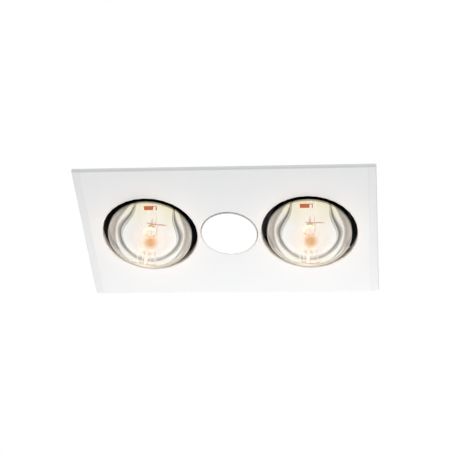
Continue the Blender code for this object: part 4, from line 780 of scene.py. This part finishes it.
def wire(name, points, radius, sides=3):
    curve = bpy.data.curves.new(name, "CURVE")
    curve.dimensions = "3D"
    curve.bevel_depth = radius
    curve.bevel_resolution = sides
    curve.use_fill_caps = True
    line = curve.splines.new("POLY")
    line.points.add(len(points) - 1)
    for point, place in zip(line.points, points):
        point.co = (*place, 1)
    path = bpy.data.objects.new(name + "_path", curve)
    mesh = bpy.data.meshes.new_from_object(path)
    mesh.name = name
    bpy.data.objects.remove(path)
    mesh.shade_smooth()
    return put_in(name, mesh)


def joined(name, first, *others):
    bm = bmesh.new()
    for piece in (first, *others):
        bm.from_mesh(piece.data)
    bm.to_mesh(first.data)
    bm.free()
    for piece in others:
        bpy.data.objects.remove(piece)
    first.data.shade_smooth()
    first.name = name
    return first


def dressed(piece, slot, body, *replaced, material=None):
    """Gives a new piece its finish, the body it rides on and the solids it stands for."""
    piece.data.materials.append(material or finishes[slot])
    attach(piece, body)
    if replaced:
        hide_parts(*replaced)
    return piece


print(f"blocks are rounded in {BEVEL_STEPS} steps")

# %% [markdown]
# ## The light that a lamp gives
# A heat lamp gives a deep yellow that lies on the inside of its bowl. The coil's own glow could do this, but
# in a short render it leaves grain. A faint disk of light at the front of each bulb shines up into the mirror
# instead, and nothing sees the disk itself.

# %% Lamp light
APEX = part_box("lamp_glass_left")[0].z
LAMP_LIGHT_LEVEL = 0.005
LAMP_LIGHT_WIDTH = 0.09
LAMP_LIGHT_POWER = 0.09


def lamp_light(side, x):
    light = area_light(f"lamp_light_{side}", "DISK", (LAMP_LIGHT_WIDTH, LAMP_LIGHT_WIDTH), LAMP_LIGHT_POWER)
    light.data.color = (1.0, 0.70, 0.42)
    light.location = (x, 0, APEX + LAMP_LIGHT_LEVEL)
    light.rotation_euler = (math.pi, 0, 0)
    light.visible_transmission = False


for side, sign in SIDES.items():
    lamp_light(side, sign * LAMP_X)
print(f"two lamps of {LAMP_LIGHT_POWER} W of light each")

# %% [markdown]
# ## The heat lamps
# Each lamp is a blown bulb whose clear front is a shallow dome that turns over a tight shoulder into the
# cone. The frame's bulb could stay, with its outline in a few flat bands, but a lamp is looked into and every
# band would show. It is turned again through the same points on a smooth curve. The mirror ends a little
# above the widest ring, and what lies below that is clear.

# %% Heat lamps
BULB_RADIUS = 0.0625
BULB_LENGTH = 0.1517
NECK_RADIUS = 0.0136
BULB_SHARES = [
    (0.304, 0.943), (0.304, 0.857), (0.400, 0.770), (0.576, 0.660), (0.848, 0.428),
    (0.960, 0.297), (1.000, 0.185), (0.975, 0.135), (0.900, 0.105),
]
DOME_RADIUS = 0.050
DOME_RISE = 0.012
DOME_STEPS = 6
MIRROR_END = 0.0275


def bulb_profile():
    """From the neck down the cone, over the shoulder and along the dome to its middle."""
    arc = (DOME_RADIUS**2 + DOME_RISE**2) / (2 * DOME_RISE)
    reaches = [DOME_RADIUS * (1 - i / DOME_STEPS) for i in range(DOME_STEPS + 1)]
    dome = [(reach, arc - math.sqrt(arc**2 - reach**2)) for reach in reaches]
    cone = [(radius * BULB_RADIUS, height * BULB_LENGTH) for radius, height in BULB_SHARES]
    line = smooth_line([(NECK_RADIUS, BULB_LENGTH), *cone, *dome], 5)
    return [(max(min(radius, BULB_RADIUS), 0.0), height) for radius, height in line]


def heat_lamp(side, x):
    bulb = turned(f"lamp_bulb_{side}", bulb_profile(), 96, (x, 0, APEX))
    dressed(bulb, "lamp_glass", f"heat_lamp_{side}", f"lamp_glass_{side}")
    bulb.data.materials.append(finishes["mirror_coat"])
    for face in bulb.data.polygons:
        face.material_index = 1 if face.center.z - APEX > MIRROR_END else 0
    return bulb


bulbs = [heat_lamp(side, sign * LAMP_X) for side, sign in SIDES.items()]
print(f"bulb of {len(bulbs[0].data.polygons)} faces")

# %% [markdown]
# ## Filament
# The filament is a tungsten wire wound into a fine coil, and the coil is bent into an open ring with its gap
# at the right. A plain glowing ring would be far lighter to draw, but too smooth. The coil has three times
# the curls of the frame's, because it is the brightest thing in the picture.

# %% Filament
COIL_LEVEL = 0.032
COIL_RADIUS = 0.009
COIL_START = 45
COIL_SWEEP = 270
COIL_END = 0.0023
CURLS = 34
CURL_POINTS = 10
CURL_RADIUS = 0.0013
FILAMENT_WIRE = 0.0003


def coil_points(x):
    count = CURLS * CURL_POINTS
    points = []
    for i in range(count + 1):
        bearing = math.radians(COIL_START + COIL_SWEEP * i / count)
        curl = TURN * i / CURL_POINTS
        reach = COIL_RADIUS + CURL_RADIUS * math.cos(curl)
        height = APEX + COIL_LEVEL + CURL_RADIUS * math.sin(curl)
        points.append(Vector((x + reach * math.cos(bearing), reach * math.sin(bearing), height)))
    return points


def filament(side, x):
    """Makes the coil and gives back the tops of its two upright ends."""
    coil = coil_points(x)
    ends = [coil[i] + Vector((0, 0, COIL_END)) for i in (0, -1)]
    piece = wire(f"filament_coil_{side}", [ends[0], *coil, ends[1]], FILAMENT_WIRE, 2)
    dressed(piece, "tungsten", f"heat_lamp_{side}", f"lamp_filament_{side}")
    return ends


coil_ends = {side: filament(side, sign * LAMP_X) for side, sign in SIDES.items()}
print(f"coil of {CURLS} curls, {2 * COIL_RADIUS * 1000:.0f} mm across")

# %% [markdown]
# ## Stem, mica plate and wires
# The ring hangs from a glass rod that reaches down from the neck: three hooks hold it, and two stout wires
# carry the current. Above it a mica plate keeps the heat from the cap, and shows as the orange bar in each
# lamp. The stem could be blown with real glass walls, but a real one is solid too, pressed flat round its
# wires.

# %% Lamp mount
STEM_END = 0.1117
STEM_RADIUS = 0.0035
ROD_RADIUS = 0.0018
FOOT_RADIUS = NECK_RADIUS - 0.0013
BUTTON_LEVEL = 0.040
BUTTON_RADIUS = 0.0045
MICA_LEVEL = 0.0880
MICA_LOW = Vector((-0.0165, -0.0025, 0))
MICA_HIGH = Vector((0.0030, 0.0055, 0.0006))
LEAD_IN_WIRE = 0.0004
SUPPORT_WIRE = 0.0003


def stem_profile():
    """The flared foot in the neck, the stem, the long rod and the button at its end."""
    flare = [
        (FOOT_RADIUS, BULB_LENGTH), (FOOT_RADIUS, BULB_LENGTH - 0.0016),
        (0.006, BULB_LENGTH - 0.011), (STEM_RADIUS, 0.130), (STEM_RADIUS, STEM_END),
        (ROD_RADIUS, STEM_END - STEM_RADIUS),
    ]
    top = BUTTON_LEVEL + 0.006
    button = [
        (ROD_RADIUS, top), (0.0035, top), (BUTTON_RADIUS, top - 0.001),
        (BUTTON_RADIUS, BUTTON_LEVEL + 0.001), (0.0036, BUTTON_LEVEL), (0, BUTTON_LEVEL),
    ]
    return [(0, BULB_LENGTH), *smooth_line(flare, 4), *button]


def lead_in(x, end):
    outward = Vector((end.x - x, end.y, 0)).normalized()
    root = Vector((x, 0, APEX + STEM_END)) + outward * 0.002
    elbow = Vector((end.x, end.y, APEX + STEM_END - 0.010))
    return wire("lead_in", [root, elbow, end], LEAD_IN_WIRE, 2)


def support(x, bearing):
    outward = Vector((math.cos(bearing), math.sin(bearing), 0))
    root = Vector((x, 0, APEX + BUTTON_LEVEL + 0.001)) + outward * 0.003
    hook = Vector((x, 0, APEX + COIL_LEVEL + 0.0022)) + outward * COIL_RADIUS
    return wire("support", [root, hook], SUPPORT_WIRE, 2)


def lamp_mount(side, x, ends):
    body = f"heat_lamp_{side}"
    stem = turned(f"lamp_stem_{side}", stem_profile(), 24, (x, 0, APEX))
    dressed(stem, "mount_glass", body, f"lamp_mount_{side}")
    middle = Vector((x, 0, APEX + MICA_LEVEL))
    plate = block(f"mica_plate_{side}", middle + MICA_LOW, middle + MICA_HIGH, 0.0002)
    dressed(plate, "mount_glass", body, material=finishes["mica"])
    wires = [lead_in(x, end) for end in ends]
    wires += [support(x, math.radians(bearing)) for bearing in (90, 180, 270)]
    wiring = joined(f"filament_wires_{side}", *wires)
    return dressed(wiring, "zinc_plate", body, material=finishes["hot_wire"])


mounts = [lamp_mount(side, sign * LAMP_X, coil_ends[side]) for side, sign in SIDES.items()]
print(f"wires of {len(mounts[0].data.polygons)} faces")

# %% [markdown]
# ## Threads
# Caps and clamp screws carry a real thread, a groove that climbs by one pitch in each turn. A bump could show
# it from far off, but the outline would stay straight. So each ring of the turned piece has one wave round
# it, a little further round than on the ring below, and at both ends the groove runs out over one pitch.

# %% Threads
RINGS_PER_PITCH = 8


def threaded(name, profile, thread, sides, place):
    """Turns a profile whose stretch between two heights carries a thread of a given pitch and depth."""
    low, high, pitch, depth = thread
    steps = round((high - low) / pitch * RINGS_PER_PITCH)
    levels = []
    for (radius, height), (_, next_height) in zip(profile, profile[1:]):
        levels.append((radius, height, False))
        if abs(height - low) < 1e-6 and abs(next_height - high) < 1e-6:
            levels += [(radius, low + (high - low) * i / steps, True) for i in range(1, steps)]
    levels.append((*profile[-1], False))
    bm = bmesh.new()
    rings = []
    for radius, height, cut in levels:
        fade = min(1.0, (height - low) / pitch, (high - height) / pitch) if cut else 0.0
        waves = [0.5 - 0.5 * math.cos(TURN * (height / pitch - i / sides)) for i in range(sides)]
        rings.append(ring(bm, [radius - depth * wave * fade for wave in waves], height))
    return skinned(name, bm, rings, place)


print(f"{RINGS_PER_PITCH} rings for each turn of a thread")

# %% [markdown]
# ## Lamp caps
# The cap is thin brass with a rolled thread, closed at its end by black glass round the centre contact. Glass
# and contact could be pieces of their own. They are one turned piece with the brass, since nobody takes a cap
# apart, and the faces round the contact are simply dark.

# %% Lamp caps
CAP_RADIUS = 0.0132
CAP_START = 0.152
CAP_END = 0.177
CAP_THREAD = (0.1558, 0.1735, 0.0036, 0.0011)
CONTACT_RADIUS = 0.0040
CAP_PROFILE = [
    (0, CAP_END - 0.0030), (CAP_RADIUS - 0.0014, CAP_END - 0.0040),
    (CAP_RADIUS - 0.0008, CAP_START), (CAP_RADIUS, CAP_START), (CAP_RADIUS, CAP_THREAD[0]),
    (CAP_RADIUS, CAP_THREAD[1]), (0.0118, CAP_END - 0.0006), (0.0106, CAP_END),
    (0.0100, CAP_END + 0.0002), (CONTACT_RADIUS, CAP_END + 0.0020), (0.0038, CAP_END + 0.0030),
    (0.0022, CAP_END + 0.0038), (0, CAP_END + 0.0040),
]


def lamp_cap(side, x):
    cap = threaded(f"threaded_cap_{side}", CAP_PROFILE, CAP_THREAD, 48, (x, 0, APEX))
    dressed(cap, "lamp_brass", f"heat_lamp_{side}", f"lamp_cap_{side}")
    cap.data.materials.append(finishes["dark_plastic"])
    for face in cap.data.polygons:
        reach = math.hypot(face.center.x - x, face.center.y)
        if face.center.z > APEX + CAP_END and reach > CONTACT_RADIUS + 0.0001:
            face.material_index = 1
    return cap


caps = [lamp_cap(side, sign * LAMP_X) for side, sign in SIDES.items()]
print(f"cap of {len(caps[0].data.polygons)} faces")

# %% [markdown]
# ## Ceiling clamps
# Each clamp hangs on a long screw with a pan head and a cross recess in reach of a driver from below. The
# recess could be modelled face by face. Two thin blocks that a Boolean takes out of the head are quicker, and
# leave edges as sharp as a punch does.

# %% Clamp screws
HEAD_HEIGHT = 0.0028
SHAFT_RADIUS = 0.0020
COLLAR_RADIUS = 0.0032
COLLAR_LOW = 0.0030
COLLAR_HIGH = 0.0042
THREAD_START = 0.0045
THREAD_PITCH = 0.0010
THREAD_DEPTH = 0.0004
POINT_HEIGHT = 0.0010


def applied(piece):
    """Turns a piece's modifiers into real faces."""
    bpy.context.view_layer.update()
    mesh = bpy.data.meshes.new_from_object(piece.evaluated_get(bpy.context.evaluated_depsgraph_get()))
    piece.modifiers.clear()
    piece.data = mesh
    return piece


def cross_cut(piece, place, reach, width, depth):
    """Cuts a cross recess: reach is half its length, width half that of a slot."""
    x, y, z = place
    cutters = [
        block("slot", (x - a, y - b, z - depth), (x + a, y + b, z + depth), 0.00005)
        for a, b in ((reach, width), (width, reach))
    ]
    for cutter in cutters:
        modifier = piece.modifiers.new("cut", "BOOLEAN")
        modifier.operation = "DIFFERENCE"
        modifier.solver = "EXACT"
        modifier.object = cutter
    applied(piece)
    for cutter in cutters:
        bpy.data.objects.remove(cutter)
    return piece


def clamp_screw(number):
    low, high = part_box(f"clamp_screw_{number}")
    x, y = (low.x + high.x) / 2, (low.y + high.y) / 2
    head = (high.x - low.x) / 2
    bottom, top = low.z, high.z
    thread_end = top - POINT_HEIGHT
    profile = [
        (0, bottom), (head - 0.0016, bottom), (head - 0.0006, bottom + 0.0006),
        (head, bottom + 0.0018), (head, bottom + HEAD_HEIGHT),
        (SHAFT_RADIUS, bottom + HEAD_HEIGHT), (SHAFT_RADIUS, COLLAR_LOW),
        (COLLAR_RADIUS, COLLAR_LOW), (COLLAR_RADIUS, COLLAR_HIGH), (SHAFT_RADIUS, COLLAR_HIGH),
        (SHAFT_RADIUS, THREAD_START), (SHAFT_RADIUS, thread_end), (0.0014, top), (0, top),
    ]
    thread = (THREAD_START, thread_end, THREAD_PITCH, THREAD_DEPTH)
    screw = threaded(f"clamp_screw_{number}_cut", profile, thread, 16, (x, y, 0))
    cross_cut(screw, (x, y, bottom), 0.0022, 0.00045, 0.0014)
    screw.data.materials.clear()
    return dressed(screw, "zinc_plate", "unit", f"clamp_screw_{number}")


screws = [clamp_screw(number) for number in range(1, 5)]
print(f"clamp screw of {len(screws[0].data.polygons)} faces")

# %% [markdown]
# ## Screws, rivets and knock-outs
# The frame leaves out what is smaller than a fingertip, but real sheet work shows how it is held together:
# brackets by screws, seams by blind rivets, and the pressed rings of knock-outs offer a second way in for a
# cable. They could be built in place, but each is shaped once, on its own origin, and used many times.

# %% Fastener shapes
KNOCK_OUT = [
    (0, 0), (0, 0.0012), (0.0082, 0.0012), (0.0088, 0.0006), (0.0090, 0.0001), (0.0098, 0.0001),
    (0.0100, 0.0010), (0.0110, 0.0010), (0.0116, 0),
]


def shape_of(piece):
    mesh = piece.data
    bpy.data.objects.remove(piece)
    return mesh


def screw_shape(radius, height):
    profile = [
        (0, 0), (radius, 0), (radius, height * 0.35), (radius * 0.86, height * 0.75),
        (radius * 0.55, height), (0, height),
    ]
    head = turned("head", profile, 24)
    return shape_of(cross_cut(head, (0, 0, height), radius * 0.58, radius * 0.13, height * 0.6))


def rivet_shape(radius, height):
    profile = [
        (0, 0), (radius, 0), (radius * 0.94, height * 0.5), (radius * 0.66, height * 0.9),
        (radius * 0.40, height), (radius * 0.34, height * 0.72), (0, height * 0.72),
    ]
    return shape_of(turned("rivet", profile, 20))


pan_head = screw_shape(0.0032, 0.0019)
small_head = screw_shape(0.0023, 0.0015)
rivet = rivet_shape(0.0026, 0.0010)
knock_out = shape_of(turned("ring", KNOCK_OUT, 32))
print(f"pan head of {len(pan_head.polygons)} faces, rivet of {len(rivet.polygons)}")

# %% [markdown]
# ## Setting them down
# A shape is copied to each of its places, turned to face out of its sheet and spun a little further than the
# last, as an assembler leaves screws at any angle. Linked copies would be lighter, but one mesh for each
# group keeps the list of pieces short.

# %% Helpers for places
SPIN = 2.4


def set_down(name, shape, spots, direction, slot="zinc_plate"):
    bm = bmesh.new()
    aim = Vector(UP).rotation_difference(Vector(direction)).to_matrix().to_4x4()
    for i, spot in enumerate(spots):
        start = len(bm.verts)
        bm.from_mesh(shape)
        bm.verts.ensure_lookup_table()
        move = Matrix.Translation(spot) @ aim @ Matrix.Rotation(SPIN * i, 4, "Z")
        bmesh.ops.transform(bm, matrix=move, verts=bm.verts[start:])
    print(f"{name}: {len(spots)}")
    return dressed(mesh_piece(name, bm), slot, "unit")


def grid(*axes):
    """Every combination of the values along the three axes."""
    points = [()]
    for values in axes:
        points = [(*point, value) for point in points for value in values]
    return points


def both(value):
    return (-value, value)


# %% [markdown]
# ## The walls of the box
# The box is folded from one sheet. At each upright corner the long wall ends in a narrow lap riveted to the
# short wall, and the brackets inside are held through the walls. The laps could be part of the wall's own
# mesh, but that belongs to the frame, so they lie on it as thin blocks.

# %% Wall fasteners
WALL_X = 0.193
LAP_SHEET = 0.0008
LAP_START_Y = 0.088
LAP_END_Y = 0.1008
LAP_BOTTOM = 0.045
LAP_TOP = 0.182
SEAM_Y = 0.0945
SEAM_LEVELS = (0.062, 0.098, 0.134, 0.170)
SCREW_STEP = 0.009
LAMP_BRACKET_LEVEL = 0.1590
LIGHT_BRACKET_LEVEL = 0.0135
END_BRACKET_LEVEL = 0.028
END_BRACKET_SPOTS = (-0.066, -0.022, 0.022, 0.066)


def lap_corners(sign, end):
    xs = sorted((sign * WALL_X, sign * (WALL_X + LAP_SHEET)))
    ys = sorted((end * LAP_START_Y, end * LAP_END_Y))
    return (xs[0], ys[0], LAP_BOTTOM), (xs[1], ys[1], LAP_TOP)


for name, sign in (("front", -1), ("back", 1)):
    wall, facing = (sign * WALL_Y,), (0, sign, 0)
    holder_x = [centre + step for centre in both(LAMP_X) for step in both(SCREW_STEP)]
    set_down(f"bracket_screws_{name}", pan_head, grid(holder_x, wall, (LAMP_BRACKET_LEVEL,)), facing)
    strap_screws = grid(both(SCREW_STEP), wall, (LIGHT_BRACKET_LEVEL,))
    set_down(f"light_strap_screws_{name}", pan_head, strap_screws, facing)
for name, sign in SIDES.items():
    wall, lapped, facing = (sign * WALL_X,), (sign * (WALL_X + LAP_SHEET),), (sign, 0, 0)
    laps = [block("lap", *lap_corners(sign, end), 0.0003) for end in (-1, 1)]
    dressed(joined(f"corner_laps_{name}", *laps), "galvanised_steel", "unit")
    set_down(f"seam_rivets_{name}", rivet, grid(lapped, both(SEAM_Y), SEAM_LEVELS), facing)
    set_down(f"bracket_rivets_{name}", rivet, grid(wall, END_BRACKET_SPOTS, (END_BRACKET_LEVEL,)), facing)

# %% [markdown]
# ## Everything else that is screwed or riveted
# Terminal block, spigot, lamp holders, motor, fan bracket, driver, heat sink and clips have screws or rivets
# too. Each row says what is used, along which x, y and z it stands, and which way it faces. A dozen calls
# could say the same, but a table shows at a glance that nothing is left hanging.

# %% Other fasteners
BACK, RIGHT, LEFT, DOWN = (0, 1, 0), (1, 0, 0), (-1, 0, 0), (0, 0, -1)
SCROLL_TOP = 0.152
MOTOR_FOOT = 0.040
MOTOR_LEVEL = 0.1578
SPIGOT_X = (0.0558 - 0.050, 0.0558 + 0.050)
SPIGOT_LEVELS = (0.124 - 0.046, 0.124 + 0.046)
FASTENERS = [
    ("knock_outs", knock_out, (WALL_X,), both(0.030), (0.160,), RIGHT, "galvanised_steel"),
    ("terminal_rivets", rivet, (-WALL_X,), both(0.028), (0.129,), LEFT),
    ("cover_screw", small_head, (-0.1702,), (0,), (0.129,), RIGHT),
    ("spigot_screws", pan_head, SPIGOT_X, (0.1028,), SPIGOT_LEVELS, BACK),
    ("holder_screws", pan_head, both(LAMP_X), both(0.011), (0.1685,), UP),
    ("fan_bracket_screws", pan_head, both(0.006), (-0.069,), (0.1535,), UP),
    ("fan_bracket_rivets", rivet, both(0.006), (-0.088,), (0.1825,), DOWN),
    ("driver_screws", pan_head, both(0.060), (-0.0967,), (0.063,), BACK),
    ("sink_screws", small_head, both(0.008), (0,), (0.0222,), UP),
    ("clip_rivets", rivet, both(0.060), both(0.0885), (-0.0043,), UP),
]
for name, shape, xs, ys, zs, facing, *slot in FASTENERS:
    set_down(name, shape, grid(xs, ys, zs), facing, *slot)
feet = [(MOTOR_FOOT, 0), (-MOTOR_FOOT, 0), (0, MOTOR_FOOT), (0, -MOTOR_FOOT)]
set_down("motor_screws", pan_head, [(x, y, MOTOR_LEVEL) for x, y in feet], UP)

# %% [markdown]
# ## Capacitor strap and motor seam
# The run capacitor lies against the motor under a bent strap, and the motor can is two cups pressed together
# with a raised bead between them. The strap could be extruded from a curve. A row of faces with a Solidify
# modifier is shorter, and its thickness is a sheet's own.

# %% Strap and seam
STRAP_REACH = 0.0116
STRAP_WIDTH = 0.009
STRAP_SHEET = 0.0006
STRAP_FOOT = 0.0062
SEAM = [(0.0338, 0.1690), (0.0344, 0.1693), (0.0346, 0.1699), (0.0344, 0.1705), (0.0338, 0.1708)]


def bent_strip(name, points, across, thickness):
    bm = bmesh.new()
    half = Vector(across) / 2
    rows = [(bm.verts.new(Vector(p) - half), bm.verts.new(Vector(p) + half)) for p in points]
    for low, high in zip(rows, rows[1:]):
        bm.faces.new((low[0], low[1], high[1], high[0]))
    piece = mesh_piece(name, bm)
    modifier = piece.modifiers.new("sheet", "SOLIDIFY")
    modifier.thickness = thickness
    modifier.offset = 0.0
    return applied(piece)


low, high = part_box("run_capacitor")
centre = (low + high) / 2
outward = Vector((-1, -1, 0)).normalized()
reach, rise = outward * STRAP_REACH, Vector(UP) * STRAP_REACH
bends = [math.radians(a) for a in range(205, -1, -12)]
points = [centre + reach * math.cos(a) + rise * math.sin(a) for a in bends]
edge = centre + reach
foot = Vector((edge.x, edge.y, SCROLL_TOP + STRAP_SHEET))
points += [foot + Vector((0, 0, 0.001)), foot + outward * 0.0008, foot + outward * STRAP_FOOT]
across = Vector((1, -1, 0)).normalized() * STRAP_WIDTH
dressed(bent_strip("capacitor_strap", points, across, STRAP_SHEET), "zinc_plate", "unit")
spot = foot + Vector((0, 0, STRAP_SHEET / 2)) + outward * 0.0037
set_down("strap_screw", small_head, [spot], UP)
dressed(turned("motor_seam", SEAM, 64), "galvanised_steel", "unit")
print(f"strap {STRAP_WIDTH * 1000:.0f} mm wide, seam of {len(SEAM)} rings")

# %% [markdown]
# ## Light sources on the board
# The board carries its light sources in two rings, small square packages with a yellow window, hidden until
# the opal cover comes off. They could shine, but the cover glows itself, so a plain yellow finish does.

# %% Light sources
LIGHT_RINGS = ((0.011, 6), (0.025, 12))
PACKAGE_HALF = 0.0015
PACKAGE_HEIGHT = 0.0007
WINDOW = [(0, -0.00082), (0.0010, -0.00078), (0.0011, -0.0006)]


def ring_spots(radius, count):
    turns = [TURN * i / count for i in range(count)]
    return [(radius * math.cos(turn), radius * math.sin(turn)) for turn in turns]


def package(x, y, under):
    low = (x - PACKAGE_HALF, y - PACKAGE_HALF, under - PACKAGE_HEIGHT)
    return block("package", low, (x + PACKAGE_HALF, y + PACKAGE_HALF, under), 0.0002)


def light_sources():
    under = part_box("led_board")[0].z
    spots = [spot for radius, count in LIGHT_RINGS for spot in ring_spots(radius, count)]
    packages = [package(x, y, under) for x, y in spots]
    windows = [turned("window", WINDOW, 16, (x, y, under)) for x, y in spots]
    dressed(joined("light_packages", *packages), "board_white", "unit")
    phosphor = moulded("phosphor", (0.80, 0.62, 0.10), (0.88, 0.72, 0.16), 0.35)
    dressed(joined("light_windows", *windows), "opal", "unit", material=phosphor)
    return len(spots)


print(f"{light_sources()} light sources")
